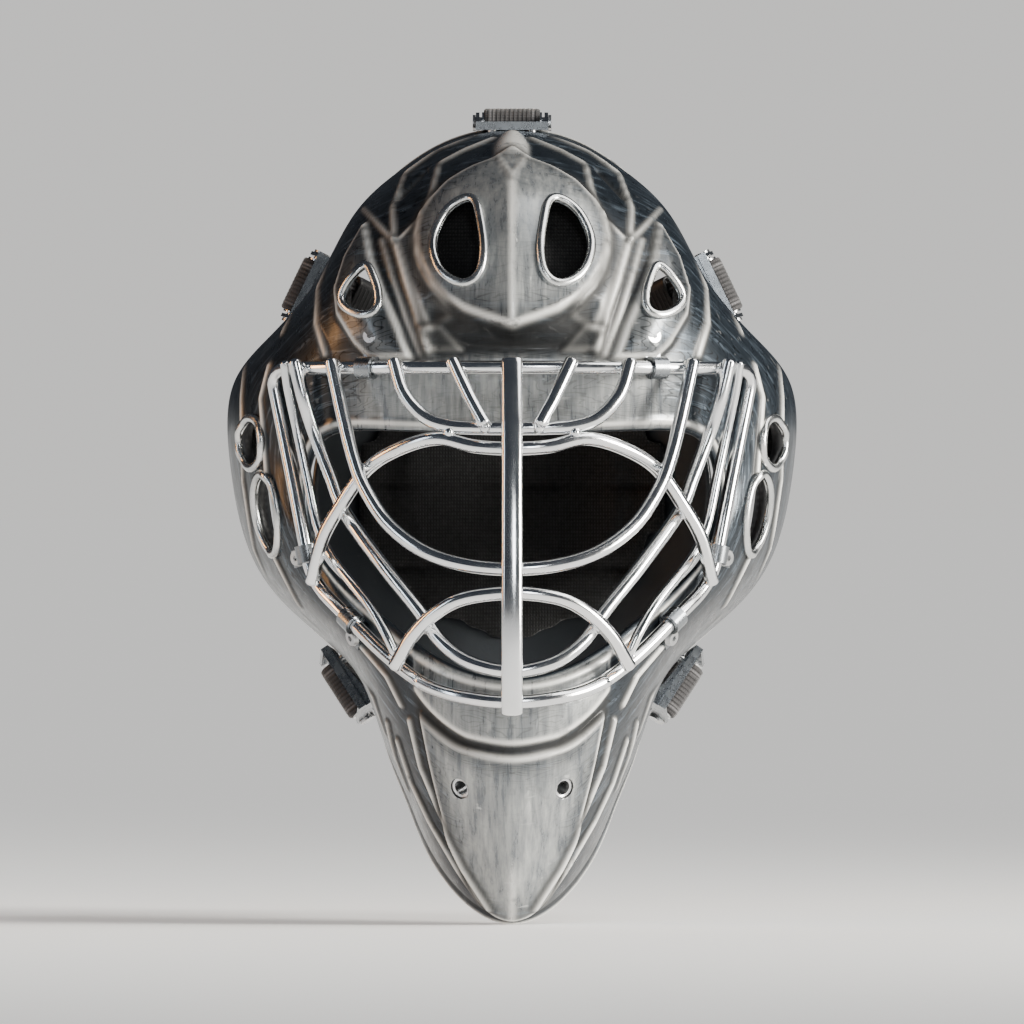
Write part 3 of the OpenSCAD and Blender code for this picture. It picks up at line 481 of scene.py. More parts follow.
# ---- shell surface, as in the CAD
# Spokes from the middle of the brow down the left side to the chin, each from the face opening to the rear edge
SPOKES = [
    [(0, -113, 27), (0, -119, 50), (0, -117, 78), (0, -105, 106), (0, -79, 131), (0, -36, 147),
        (0, 15, 150)],
    [(22, -112, 27), (23, -117.5, 50), (24, -115, 78), (25, -102, 105), (25, -76, 128.5),
        (25, -34, 143.5), (24, 16, 146)],
    [(45, -107, 27.5), (47, -110.5, 50), (48, -107, 77), (48, -94, 100), (48, -69, 120),
        (47, -29, 131.5), (45, 20, 133)],
    [(66.5, -95, 28), (68.5, -96.5, 50), (70, -93, 74), (69, -81, 94), (67, -57, 109), (64, -22, 116.5),
        (61, 25, 115.5)],
    [(79, -82.5, 23), (84, -80.5, 44), (86, -76, 61), (82, -65, 78), (78.5, -42, 88), (75.5, -10, 92),
        (73.5, 31, 90)],
    [(84, -76.5, 9), (91.5, -71.5, 29), (98, -62.5, 47), (99.5, -47, 60), (97.5, -21, 66), (94, 9, 67.5),
        (88, 44, 66)],
    [(83.5, -77, -6), (93.5, -68, 12), (105, -53.5, 29), (112, -34, 41), (114.5, -7, 46), (113, 24, 46),
        (105, 57, 41)],
    [(79.5, -81, -20), (91, -72, -8), (102.5, -56.5, 4), (110.5, -35, 11), (114.5, -8, 14),
        (113.5, 26, 14), (104.5, 65, 10)],
    [(72.5, -88.5, -31), (83, -78, -27), (94.5, -61, -23.5), (102.5, -39, -22), (107, -11, -21),
        (107, 22, -23), (99, 60, -27)],
    [(62.5, -99.5, -41), (72.5, -90, -42), (81.5, -73, -42), (88, -49, -43), (90.5, -20, -45),
        (89, 12, -48), (83, 43, -52)],
    [(52, -111, -50), (60, -103, -56), (64.5, -87, -61), (65.5, -63, -65), (64, -37, -68), (62, -9, -71),
        (58, 18, -74)],
    [(41, -121.5, -59), (49, -114.5, -68), (53.5, -99, -78), (55, -79, -86), (54.5, -57, -92),
        (53.5, -34, -97), (51, -12, -101)],
    [(31, -130.5, -65.5), (38, -125, -79), (42.5, -112, -92), (44.5, -96, -104), (44.5, -79, -112),
        (43, -61, -119), (41, -42, -124)],
    [(20, -137.5, -70.5), (26, -133.5, -86), (31.5, -123, -104), (34.5, -109, -119), (35, -95, -130),
        (34.5, -81, -138), (33, -66, -145)],
    [(10, -141.5, -73), (13.5, -139.5, -93), (17, -131, -115), (19.5, -119, -135), (20, -108, -149),
        (19.5, -97, -158.5), (18, -84, -164)],
    [(0, -143, -74), (0, -142.5, -95), (0, -136, -118), (0, -126, -141), (0, -116, -157),
        (0, -105, -168), (0, -92, -172)],
]
WALL = 4.0
AROUND = 2 * (len(SPOKES) - 1)
LAST_ROW = len(SPOKES[0]) - 1


def control_net():
    half = np.array(SPOKES, float)
    full = np.concatenate([half, mirror_x(half[1:-1][::-1])])
    ring = full - (np.roll(full, 1, 0) - 2 * full + np.roll(full, -1, 0)) / 6
    net = ring.copy()
    net[:, 1:-1] = ring[:, 1:-1] - (ring[:, :-2] - 2 * ring[:, 1:-1] + ring[:, 2:]) / 6
    return np.concatenate([2 * net[:, :1] - net[:, 1:2], net, 2 * net[:, -1:] - net[:, -2:-1]], 1)


NET = control_net()


def basis(t):
    return np.stack([(1 - t) ** 3, 3 * t**3 - 6 * t**2 + 4, -3 * t**3 + 3 * t**2 + 3 * t + 1, t**3], -1) / 6


def shell_at(u, v):
    """Outer surface: u counts spokes round the face, v counts rows from the face opening to the rear edge."""
    u, v = np.broadcast_arrays(np.asarray(u, float), np.asarray(v, float))
    j = np.floor(u).astype(int)
    i = np.clip(np.floor(v).astype(int), 0, LAST_ROW - 1)
    a, b = basis(u - j), basis(v - i)
    out = np.zeros(u.shape + (3,))
    for m in range(4):
        for n in range(4):
            out += (a[..., m] * b[..., n])[..., None] * NET[(j - 1 + m) % AROUND, i + n]
    return out


def shell_normal(u, v):
    e = 0.02
    around = shell_at(u + e, v) - shell_at(u - e, v)
    back = shell_at(u, np.minimum(v + e, LAST_ROW)) - shell_at(u, np.maximum(v - e, 0))
    return unit(np.cross(around, back))


# ---- relief of the shell, on (x, z) seen from the front
SHIELD = [(0, 138), (6, 135.5), (16, 131), (25.5, 125), (32, 118.5), (36.5, 112), (38.2, 105), (37.8, 98),
    (35.5, 91), (31.5, 84.5), (26, 78.5), (18, 73.5), (8.7, 70), (0, 67)]
NOTCH = [(5.3, 134.5), (0, 122.5)]
FLANK = [(36, 114), (47.2, 103), (42, 86), (33.6, 66), (22, 72), (36, 90), (38.5, 103)]
WEDGE = [(58.5, 111), (66.9, 96), (71, 83), (70, 73.5), (63, 61.5), (57, 55.5), (39.7, 55.5), (44.4, 68),
    (51, 83), (55.7, 96)]
STUB = [(20, 59), (34, 59), (36.5, 68), (28.5, 69)]
STRAKE = [(47.2, 102.7), (43, 88), (38.5, 74), (34, 58)]
STRAKE_MID = [(52.5, 104), (47.5, 87), (42.5, 72), (37, 57)]
KITE = [(60.4, 117), (47.2, 102.7)]
CROWN_IN = [(6.9, 145.8), (20, 140.2), (29.4, 134.6), (32, 121), (36.3, 112)]
CROWN_OUT = [(14.4, 147.7), (31.3, 140.2), (43.5, 130.8), (48.2, 116.7), (47.2, 102.7)]
SLOT = [(34.5, 133), (46, 121)]
SIDE_LINES = [[(66, 112), (74, 97), (78.5, 84), (79, 70), (75, 57)], [(74, 108), (82, 92), (88, 78),
    (93, 66)], [(98, 54), (101.5, 40), (99, 8), (96, -24), (86, -44)], [(108, 62), (109.5, 40), (109, 8),
    (105, -20), (96, -44)]]


def flowing(line, steps=5):
    """Smooth curve through the points, cut off at the middle plane."""
    return [tuple(p) for p in catmull(np.array(line, float), steps) if p[0] >= 0]


LIP = flowing([(-14.5, -96.9), (0, -99.1), (14.5, -96.9), (21, -94.5), (28.6, -89), (34, -83.5), (39, -77)])
CHIN = flowing([(-15, -101), (0, -103.5), (15, -101), (25, -96.5), (36.5, -86)])
CHIN += flowing([(36.5, -86), (31, -112), (24, -137.5), (17, -154), (9.5, -165), (0, -169), (-9.5, -165)])
CHIN_LINES = [[(41, -89), (36.5, -108), (29, -126), (18, -148), (8, -164)], [(46, -97), (40, -115),
    (33, -130), (22, -149), (12, -164)], [(50, -90), (47, -104), (42, -118)]]
CHEEK_LINES = [[(85, -48), (70, -63), (56, -80), (51, -96)], [(62, -58), (50, -72), (44, -84)]]


def nearest(points, line, closed=False):
    """Distance from (x, z) points to a line of points."""
    line = np.asarray(line, float)
    if closed:
        line = np.concatenate([line, line[:1]])
    best = np.full(len(points), 1e9)
    for a, b in zip(line[:-1], line[1:]):
        d = b - a
        t = np.clip((points - a) @ d / max(d @ d, 1e-9), 0, 1)
        best = np.minimum(best, np.linalg.norm(points - a - t[:, None] * d, axis=1))
    return best


def within(points, outline):
    inside = np.zeros(len(points), bool)
    outline = np.asarray(outline, float)
    for a, b in zip(outline, np.roll(outline, -1, 0)):
        crossing = (a[1] > points[:, 1]) != (b[1] > points[:, 1])
        at = a[0] + (points[:, 1] - a[1]) / (b[1] - a[1] + 1e-12) * (b[0] - a[0])
        inside ^= crossing & (points[:, 0] < at)
    return inside


def depth_in(points, half_outline, centred=False):
    """Signed distance, positive inside. A centred outline is closed by its mirror image."""
    outline = np.asarray(half_outline, float)
    if centred:
        outline = np.concatenate([outline, (outline * [-1, 1])[::-1]])
    d = nearest(points, outline, True)
    return np.where(within(points, outline), d, -d)


def relief(x, z, facing):
    """Height of the relief in mm, crest (edge wear and painted highlight), painted shade and bright plate,
    fading where facing nears 0.
    """
    p = np.stack([np.abs(x), z], -1)
    ax = p[:, 0]
    height, crest, painted_shade, bright = np.zeros((4, len(p)))
    stretch = np.clip(facing, 0.30, 1)

    # Plates: crest of wear and painted highlight on the edge, a painted shade line just outside it, ink its
    # width
    def plate(outline, rise, bevel=1.6, line=0.9, ink=1.4, centred=False, silver=0.0):
        nonlocal height, crest, painted_shade, bright
        d = depth_in(p, outline, centred) / stretch
        # Painted shade: each plate's silver turns darker towards its edges
        bright = np.maximum(bright, silver * smooth(-0.5, 1.5, d) * (0.25 + 0.75 * smooth(0, 13, d)))
        height += rise * smooth(-bevel / 2, bevel / 2, d)
        crest = np.maximum(crest, bell(d - bevel * 0.5, line))
        painted_shade = np.maximum(painted_shade, bell(d + bevel * 0.5 + ink * 0.6, ink))
        return d

    # Ridges: crest of wear and painted highlight on top, painted shade lines beside it, ink their width
    def ridge(line, rise, width=1.5, ink=1.2):
        nonlocal height, crest, painted_shade
        d = nearest(p, line) / stretch
        height += 1.2 * rise * np.clip(1 - (d / (1.5 * width)) ** 2, 0, 1) ** 2
        crest = np.maximum(crest, bell(d, width * 0.65))
        painted_shade = np.maximum(painted_shade, 0.85 * bell(d - width * 1.35, ink))

    def cut(line, drop, width):
        nonlocal height, painted_shade
        d = nearest(p, line) / stretch
        height -= drop * smooth(width, width * 0.45, d)
        painted_shade = np.maximum(painted_shade, smooth(width, width * 0.6, d))

    # Forehead: the crease down the middle leans the two halves of the shield apart
    lean = smooth(142, 112, z) * smooth(60, 70, z)
    height += 8.5 * np.clip(1 - ax / 39, 0, 1) * lean
    shield = plate(SHIELD, 2.8, 2.2, 1.0, 3.0, centred=True, silver=1.0)
    # Painted highlight along the crease down the middle
    crest = np.maximum(crest, 0.8 * bell(ax, 0.8) * smooth(66, 72, z) * smooth(125, 120, z))
    # Recess under the shield's lower tip: cut in, and painted dark as shade
    below = smooth(0.5, 3.5, -shield) * smooth(80, 74, z) * smooth(55, 60, z) * smooth(36, 30, ax)
    height -= 2.2 * below
    painted_shade = np.maximum(painted_shade, 0.9 * below)
    ridge(NOTCH, 0.7, 1.2, 0.8)
    plate(STUB, 2.0, 1.4, silver=0.6)
    plate(FLANK, 1.2, 3.0, 0.8, 0.9, silver=0.75)
    ridge(STRAKE, 1.3, 1.7)
    ridge(STRAKE_MID, 0.8, 1.3)
    wedge = plate(WEDGE, 2.6, 1.8, silver=0.4)
    height += 1.6 * smooth(0, 12, wedge)
    ridge(KITE, 1.2, 1.6)
    ridge(CROWN_IN, 1.2, 1.6)
    ridge(CROWN_OUT, 1.2, 1.7)
    cut(SLOT, 2.6, 3.0)
    boss = np.clip(1 - (ax / (2.5 + 4.5 * smooth(150, 141, z))) ** 2, 0, 1)
    boss = np.sqrt(boss) * smooth(133, 139, z) * smooth(153, 148, z)
    height += 3.2 * boss
    # Boss top near white: wear and painted highlight
    crest = np.maximum(crest, 0.5 * boss)
    bright = np.maximum(bright, 0.7 * boss)
    band = smooth(22, 30, z) * smooth(60, 54, z) * smooth(74, 52, ax)
    bright = np.maximum(bright, 0.8 * band)
    for line in SIDE_LINES:
        ridge(line, 1.0, 1.6)

    # Chin: lip under the cage with a painted shadow under it, then the long panel with its crease
    lip = nearest(p, LIP)
    above = within(p, LIP + [(39, -60), (0, -60)]) & (z < -60)
    signed = np.where(above, lip, -lip)
    near = smooth(-104, -100, z) * smooth(41, 37, ax)
    bright = np.maximum(bright, 0.8 * above * smooth(-60, -68, z))
    height += 1.8 * smooth(-0.8, 0.8, signed) * smooth(41, 37, ax) * smooth(-58, -66, z) * (z < -60)
    crest = np.maximum(crest, bell(signed - 0.8, 0.9) * near)
    painted_shade = np.maximum(painted_shade, bell(signed + 2.6, 2.1) * near)
    panel = plate(CHIN, 2.4, 1.8, 0.9, 1.8, centred=True, silver=1.0)
    taper = np.clip(1 - ax / np.maximum(3 + 0.36 * (z + 172), 1), 0, 1)
    height += 3.0 * taper * smooth(-112, -145, z) * smooth(-166, -150, z)
    # Painted highlight along the chin's centre crease
    crest = np.maximum(crest, 0.7 * bell(ax, 0.8) * smooth(-140, -152, z) * (panel > 0))
    for line in CHIN_LINES:
        ridge(line, 1.3, 1.7)
    for line in CHEEK_LINES:
        ridge(line, 1.2, 1.6)

    shown = smooth(0.05, 0.22, facing)
    return height * shown, crest * shown, painted_shade * shown, bright * shown


# ---- vents
BROW_VENT = [(15, 120.5), (24.6, 116), (29.5, 107), (30.6, 100), (28, 92), (23, 88), (18, 87), (13.8, 90.5),
    (12.6, 97), (13.2, 108)]
SIDE_VENT = [(59, 93.5), (66.7, 83), (67.2, 78.5), (63, 75.6), (59, 74.4), (55.4, 76), (54.7, 80), (57, 89)]
DROP = [(-3, 14.5), (3, 15.5), (8.5, 8), (9.5, 0), (7.5, -8), (3, -13), (-1, -15), (-5, -12), (-8, -4),
    (-7, 6)]
EYELET_AT, EYELET_HOLE_R = (13.85, 2.12), 4.3
ROUND_EAR = ((101.6, -50, 22), 60)
DROP_EAR = ((96, -57, -7), 52)


def softened(outline):
    """Closed outline with its corners rounded by three passes of corner cutting."""
    p = np.asarray(outline, float)
    for _ in range(3):
        q = np.roll(p, -1, 0)
        p = np.stack([0.75 * p + 0.25 * q, 0.25 * p + 0.75 * q], 1).reshape(-1, 2)
    return p


def vents():
    """Each vent on the left side: its outline in 3-D, the direction out of the shell, and how far to cut."""
    found = []
    for centre, turn, reach, outline in (
        ((0, -95, 0), 0, 55, softened(BROW_VENT)),
        ((0, -95, 0), 0, 55, softened(SIDE_VENT)),
        (*ROUND_EAR, 26, circle(8.6, 48)),
        (*DROP_EAR, 26, softened(DROP)),
    ):
        a = math.radians(turn)
        side, out = np.array([math.cos(a), math.sin(a), 0]), np.array([math.sin(a), -math.cos(a), 0])
        found.append((centre + outline @ [side, (0, 0, 1)], out, reach))
    return found


def prism(points, out, length):
    """The two rings of a prism through an outline, length each way, turning anticlockwise about out."""
    rings = np.stack([points - out * length, points + out * length])
    turn = np.cross(points - points.mean(0), np.roll(points, -1, 0) - points.mean(0)).sum(0)
    return rings if turn @ out >= 0 else rings[:, ::-1]


# ---- shell piece
SUB_AROUND = 24
SUB_BACK = [26, 30, 34, 36, 30, 26]
EDGE_TURN = 5
INNER_ROWS = 62


def settle(grid):
    """Evens out values on the skin's grid, which is closed around and open from front to back."""
    grid = grid / 2 + (np.roll(grid, 1, 0) + np.roll(grid, -1, 0)) / 4
    wide = np.concatenate([grid[:, :1], grid, grid[:, -1:]], 1)
    return grid / 2 + (wide[:, 2:] + wide[:, :-2]) / 4


def build_shell():
    """The uncut skin of the shell, its points, and the paint values and flow of each point."""
    u = np.arange(AROUND * SUB_AROUND) / SUB_AROUND
    v = np.concatenate([i + np.arange(n) / n for i, n in enumerate(SUB_BACK)] + [[LAST_ROW]])
    grid_u, grid_v = np.meshgrid(u, v, indexing="ij")
    base = shell_at(grid_u, grid_v)
    normal = shell_normal(grid_u, grid_v)
    flat = base.reshape(-1, 3)
    found = relief(flat[:, 0], flat[:, 2], -normal.reshape(-1, 3)[:, 1])
    height, crest, painted_shade, bright = (settle(a.reshape(grid_u.shape)) for a in found)
    crest = np.clip(1.3 * crest, 0, 1)
    fade = smooth(0, 0.10, grid_v) * smooth(LAST_ROW, LAST_ROW - 0.12, grid_v)
    # A rolled bead along the rear edge and a fine step along the face opening
    run_rear = np.linalg.norm(base - base[:, -1:], axis=-1)
    run_face = np.linalg.norm(base - base[:, :1], axis=-1)
    bead = 1.2 * bell(run_rear - 4.0, 2.2) + 0.8 * bell(run_face - 2.6, 1.5)
    # Wear and painted highlight along the bead and the step, painted shade just in front of the bead
    crest = np.maximum(crest * fade, bell(run_rear - 4.0, 1.1))
    crest = np.maximum(crest, 0.9 * bell(run_face - 2.2, 1.0))
    painted_shade = np.maximum(painted_shade * fade, 0.8 * bell(run_rear - 8.2, 1.5))
    outer = base + (height * fade + bead)[..., None] * normal
    inner = base - WALL * normal

    def edge(column, beside):
        """Rounded edge that joins the outer and the inner skin."""
        direction = unit(base[:, column] - base[:, beside])
        middle = (outer[:, column] + inner[:, column]) / 2
        half = (outer[:, column] - inner[:, column]) / 2
        reach = np.linalg.norm(half, axis=-1, keepdims=True)
        turns = np.linspace(0, math.pi, EDGE_TURN + 2)[1:-1]
        return [middle + half * math.cos(t) + direction * reach * math.sin(t) * 0.8 for t in turns]

    total, rows = outer.shape[:2]
    thin = np.linspace(0, rows - 1, INNER_ROWS).round().astype(int)
    rings = [*outer.swapaxes(0, 1), *edge(-1, -2), *inner.swapaxes(0, 1)[thin[::-1]], *edge(0, 1)[::-1]]
    count = len(rings)
    points = np.stack(rings, 1).reshape(-1, 3)
    thing = piece("shell_skin", points, ring_faces(total, count, closed=True, clockwise=True), PAINT)
    thing.data.materials.append(INSIDE)
    around = np.minimum(grid_u, AROUND - grid_u)
    data = np.stack([crest, painted_shade, bright, around, grid_v], -1)
    rest = np.zeros((total, count - rows, data.shape[-1]))
    data = np.concatenate([data, rest], 1).reshape(-1, data.shape[-1])
    first_inner = rows + EDGE_TURN
    inside = np.array([first_inner <= k < first_inner + len(thin) - 1 for k in range(count)] * total)
    index = np.zeros(len(thing.data.polygons), np.int32)
    index[: len(inside)] = inside
    thing.data.polygons.foreach_set("material_index", index)
    return thing, points, data


def nearest_of(points, places):
    """For each place, the index of the nearest of the points."""
    tree = KDTree(len(points))
    for k, p in enumerate(points.tolist()):
        tree.insert(p, k)
    tree.balance()
    return np.array([tree.find(p)[1] for p in places.tolist()])


def paint_from(thing, points, data):
    """Gives each vertex the paint values of the nearest point of the uncut skin."""
    found = data[nearest_of(points, coordinates(thing))]
    for k, name in enumerate(("crest", "painted_shade", "bright")):
        set_attribute(thing, name, found[:, k])
    layer = thing.data.attributes.new("flow", "FLOAT_VECTOR", "POINT")
    flow = np.column_stack([found[:, 3:], np.zeros(len(found))])
    layer.data.foreach_set("vector", flow.astype(np.float32).ravel())


def tree_of(thing):
    faces = [tuple(f.vertices) for f in thing.data.polygons]
    return BVHTree.FromPolygons(coordinates(thing).tolist(), faces)


def drop_on(tree, points, out, start=60.0):
    """Where rays against out meet the skin, and the skin's normals. A miss takes its neighbour's depth."""
    hits, normals = [], []
    for p in points:
        hit, normal, _, _ = tree.ray_cast(Vector(p + out * start), Vector(-out))
        hits.append(np.array(hit) if hit is not None else None)
        normals.append(np.array(normal) if hit is not None else None)
    known = [k for k, h in enumerate(hits) if h is not None]
    for k, h in enumerate(hits):
        if h is None:
            near = min(known, key=lambda m: min(abs(m - k), len(hits) - abs(m - k)))
            hits[k] = points[k] + out * ((hits[near] - points[near]) @ out)
            normals[k] = normals[near]
    return np.array(hits), unit(np.array(normals))


def relax(values, rounds, closed=True):
    """Evens out a line of values. An open one keeps its ends."""
    v = np.asarray(values, float)
    for _ in range(rounds):
        calm = 0.5 * v + 0.25 * (np.roll(v, 1, 0) + np.roll(v, -1, 0))
        v = calm if closed else np.concatenate([v[:1], calm[1:-1], v[-1:]])
    return v


def vent_bead(parts, tree, outline, out):
    """Raised lip round a vent, lying on the skin."""
    centre = outline.mean(0)
    away = unit(outline - centre)
    line, normal = drop_on(tree, even(outline + away * 1.6, 0.9, True), out)
    line = relax(line, 3)
    normal = unit(relax(normal, 8))
    section = rounded_bar(3.6, 3.4, 2.4, 12)
    side = unit(np.cross(headings(line, True), normal))
    parts.loft(sweep(line + normal * 0.5, side, section, True), closed=True)


def cut(thing, cutters):
    """Takes each cutter, a Parts of separate closed solids, out of a closed mesh."""
    made = [c.make("cutter", INSIDE) for c in cutters]
    for cutter in made:
        boolean = thing.modifiers.new("hole", "BOOLEAN")
        boolean.operation = "DIFFERENCE"
        boolean.solver = "MANIFOLD"
        boolean.object = cutter
    apply_modifiers(thing)
    for cutter in made:
        bpy.data.objects.remove(cutter)


def cut_vents(skin, tree):
    beads = Parts()
    cutters = []
    for outline, out, reach in vents():
        both = Parts()
        for flip in (False, True):
            points = mirror_x(outline)[::-1] if flip else outline
            way = mirror_x(out) if flip else out
            vent_bead(beads, tree, points, way)
            both.loft(prism(points, way, reach))
        cutters.append(both)
    holes = Parts()
    for side in (1, -1):
        centre = shell_at(*EYELET_AT) * [side, 1, 1]
        out = shell_normal(*EYELET_AT) * [side, 1, 1]
        flat = unit(np.cross(out, [0, 0, 1]))
        ring = centre + circle(EYELET_HOLE_R, 32) @ np.stack([flat, np.cross(out, flat)])
        holes.loft(prism(ring, out, 9))
    cutters.append(holes)
    cut(skin, cutters)
    return beads.make("vent_rims", BEAD)


def apply_modifiers(thing):
    graph = bpy.context.evaluated_depsgraph_get()
    mesh = bpy.data.meshes.new_from_object(thing.evaluated_get(graph))
    old = thing.data
    thing.modifiers.clear()
    thing.data = mesh
    mesh.name = old.name
    bpy.data.meshes.remove(old)


skin, skin_points, skin_data = build_shell()
skin_tree = tree_of(skin)
rims = cut_vents(skin, skin_tree)
paint_from(skin, skin_points, skin_data)
fit(skin, "mask", "shell_finish", "shell")
fit(rims, "mask", "shell_finish")

# ---- cage
WIRE_R = 2.8
THIN_R = 2.0
RIM = [(97.4, 52, 8), (80.4, -34, 10), (46.7, -67.5, 14), (30.5, -78, 10), (0, -83.3, 16)]
WIRES = {
    "cage_brow_bar": [(0, 27.6, 0), (14, 27.7, 0.2), (25.8, 28.6, 0.6), (35.2, 32.3, 1.8), (43.4, 41.7, 3.8),
        (47.5, 54.4, 5.4)],
    "cage_eye_bar": [(0, -28.7, 0), (18.8, -27, 0.2), (35.2, -21.6, 0.8), (49.3, -11, 1.5), (58.7, 3, 2.2),
        (63.3, 14.7, 2.6), (67.6, 31.2, 3.6), (72.7, 54.4, 5.4)],
    "cage_outer_bar": [(0, -69.7, 0), (16.4, -66.2, -1), (28.2, -58, -3), (37.5, -45.1, -5.2),
        (51.6, -27.5, -5.6), (66.9, -6.4, -5.4), (72.7, 7.7, -4.6), (79.8, 26.5, -1), (84, 40, 3.4),
        (87.5, 54.4, 5.4)],
    "cage_upper_arch": [(0, 19.4, 0), (15, 20.3, 0), (30, 23.4, -0.6), (45, 19.4, -2.4), (58, 11.4, -3.2),
        (68.5, -3, 0), (76.3, -17, 3.2), (80.4, -34, 5.4)],
    "cage_lower_arch": [(0, -38.3, 0), (18.8, -40.4, 0.2), (30.5, -46.3, 0.8), (39.9, -55.6, 2.6),
        (46.9, -67.6, 5.4)],
}
SIDE_WIRE = [(91.6, 54, 4.6), (90, 43, 3.2), (86.4, 26, 0.4), (82.4, 7, -1.6), (78.2, -12, -2.6),
    (71.9, -25, -2.8), (58, -42.5, -2), (51, -54, -1), (47, -62.4, -0.6)]
SHORT_BAR = [(11.2, 29.5, 4.6), (17, 40, 4.6), (23.8, 54.4, 5.4)]
CENTRE_BAR = [(0, z, 5.3) for z in (54.6, 27, 0, -28, -56, -86)]
CENTRE_W, CENTRE_T = 8.6, 5.4
BEAD_ROWS, BEAD_SIDES, BEAD_LUMPS, BEAD_STRETCH = 8, 12, 0.06, 1.35
WELD_SEED, WELD_REACH, WELD_APART = 4, 1.10, 10


def cage_y(x, z):
    t, d = (52 - z) / 136, 52 - z
    bow = 0.0009 * np.exp(0.0144 * d - 0.0001765 * d**2 + 0.000001106 * d**3)
    return -126 - 72.5 * t + 49 * t * t + bow * np.abs(x) ** 2.4


def on_cage(p):
    x, z, lift = np.asarray(p, float).T
    across, down = cage_y(x + 1, z) - cage_y(x - 1, z), cage_y(x, z + 1) - cage_y(x, z - 1)
    slope = np.sqrt(across**2 + 4 + down**2) / 2
    return np.stack([x, cage_y(x, z) - lift * slope, z], -1)


def rim_path():
    half = [np.array(c[:2], float) for c in RIM]
    reach = [c[2] for c in RIM]
    loop = half + [h * [-1, 1] for h in half[-2::-1]]
    reach = reach + reach[-2::-1]
    out = []
    for i, c in enumerate(loop):
        p, q = loop[i - 1], loop[(i + 1) % len(loop)]
        a, b = c + unit(p - c) * reach[i], c + unit(q - c) * reach[i]
        for t in np.linspace(0, 1, 9):
            out.append((1 - t) ** 2 * a + 2 * t * (1 - t) * c + t * t * b)
    flat = even(np.array(out), 2.2, True)
    return on_cage(np.column_stack([flat, np.zeros(len(flat))]))


def wire_path(points, gap=2.0):
    return even(on_cage(catmull(points, 12)), gap)


def wire_piece(name, path, radius, closed, section=None, wide=(0, -1, 0)):
    parts = Parts()
    section = circle(radius, 20) if section is None else section
    if closed:
        parts.loft(sweep(path, wide, section, True), closed=True)
    else:
        parts.loft(round_ends(path, section, wide, radius * 0.55))
    fit(parts.make(name + "_bar", WIRE), "mask", "cage_wire", name)


wire_paths = {"cage_rim": (rim_path(), WIRE_R, True)}
for name, half in WIRES.items():
    wire_paths[name] = (wire_path([(-x, z, lift) for x, z, lift in half[:0:-1]] + half), WIRE_R, False)
for side, flip in (("left", 1), ("right", -1)):
    wire_paths["cage_side_wire_" + side] = (wire_path(SIDE_WIRE) * [flip, 1, 1], THIN_R, False)
    wire_paths["cage_short_bar_" + side] = (wire_path(SHORT_BAR, 1.5) * [flip, 1, 1], WIRE_R, False)
for name, drawn in wire_paths.items():
    wire_piece(name, *drawn)
drawn = (wire_path(CENTRE_BAR), CENTRE_T / 2, False)
wire_piece("cage_centre_bar", *drawn, rounded_bar(CENTRE_W, CENTRE_T, 2.6, 28), (1, 0, 0))
wire_paths["cage_centre_bar"] = drawn


def weld_bead(centre, along, radius, rng):
    """Rings of a small weld bead: a lumpy ellipsoid longer along one direction."""
    side = unit(np.cross(along, [0.3, 1, 0.2]))
    up = np.cross(along, side)
    phase = rng.uniform(0, 6.28, 3)
    a = (math.pi * np.arange(1, BEAD_ROWS) / BEAD_ROWS)[:, None, None]
    b = (2 * math.pi * np.arange(BEAD_SIDES) / BEAD_SIDES)[:, None]
    r = radius * (1 + BEAD_LUMPS * np.sin(3 * b + phase[0]) * np.sin(2 * a + phase[1]))
    return centre - along * r * BEAD_STRETCH * np.cos(a) + (side * np.cos(b) + up * np.sin(b)) * r * np.sin(a)


def cage_welds():
    """A weld bead wherever two wires touch."""
    rng = np.random.default_rng(WELD_SEED)
    parts = Parts()
    names = list(wire_paths)
    for i, a in enumerate(names):
        for b in names[i + 1 :]:
            pa, ra, _ = wire_paths[a]
            pb, rb, _ = wire_paths[b]
            gap = np.linalg.norm(pa[:, None] - pb[None], axis=2)
            near = gap < (ra + rb) * WELD_REACH
            while near.any():
                m, n = np.unravel_index(np.where(near, gap, 1e9).argmin(), gap.shape)
                middle = (pa[m] * rb + pb[n] * ra) / (ra + rb)
                away = unit(pb[n] - pa[m])
                around = unit(np.cross(away, headings(pa)[m]))
                parts.loft(weld_bead(middle, around, min(ra, rb) * 0.92, rng))
                far_a = np.linalg.norm(pa - pa[m], axis=1) > WELD_APART
                far_b = np.linalg.norm(pb - pb[n], axis=1) > WELD_APART
                near &= far_a[:, None] & far_b[None]
    fit(parts.make("cage_welds", WIRE), "mask", "cage_wire")


cage_welds()

# ---- CAD nodes that stay, with their finishes
KEPT = {
    BRACKET: ("cage_clips", "strap_bracket"),
    ROLLER: ("strap_roller",),
    EYELET: ("lace_eyelet",),
    FASTENER: ("clip_screws", "clip_nuts", "roller_pins", "bracket_rivets", "back_rivets", "chin_studs",
        "chin_snap_caps"),
}
for material, starts in KEPT.items():
    for name in filter(lambda node: node.startswith(starts), frame["nodes"]):
        mesh = frame["nodes"][name].data
        mesh.materials.clear()
        mesh.materials.append(material)
        edges = frame["nodes"][name].modifiers.new("edges", "BEVEL")
        edges.width = 0.25 * MM
        edges.segments = 2
        edges.limit_method = "ANGLE"
        edges.angle_limit = math.radians(35)
        edges.harden_normals = True

# ---- back plate
PLATE_H, PLATE_T = 156.0, 3.0
PLATE_Y, PLATE_RX, PLATE_RZ, PLATE_ZC = 112.0, 88.0, 170.0, 4.0
PLATE_GAP = 0.8
PAD_GAP, BACK_PAD_T = 1.8, 10.0
STRAP_W, STRAP_T = 23.0, 1.8


def plate_normal(x, z):
    return unit(np.stack([x / PLATE_RX, np.ones_like(x), (z - PLATE_ZC) / PLATE_RZ], -1))


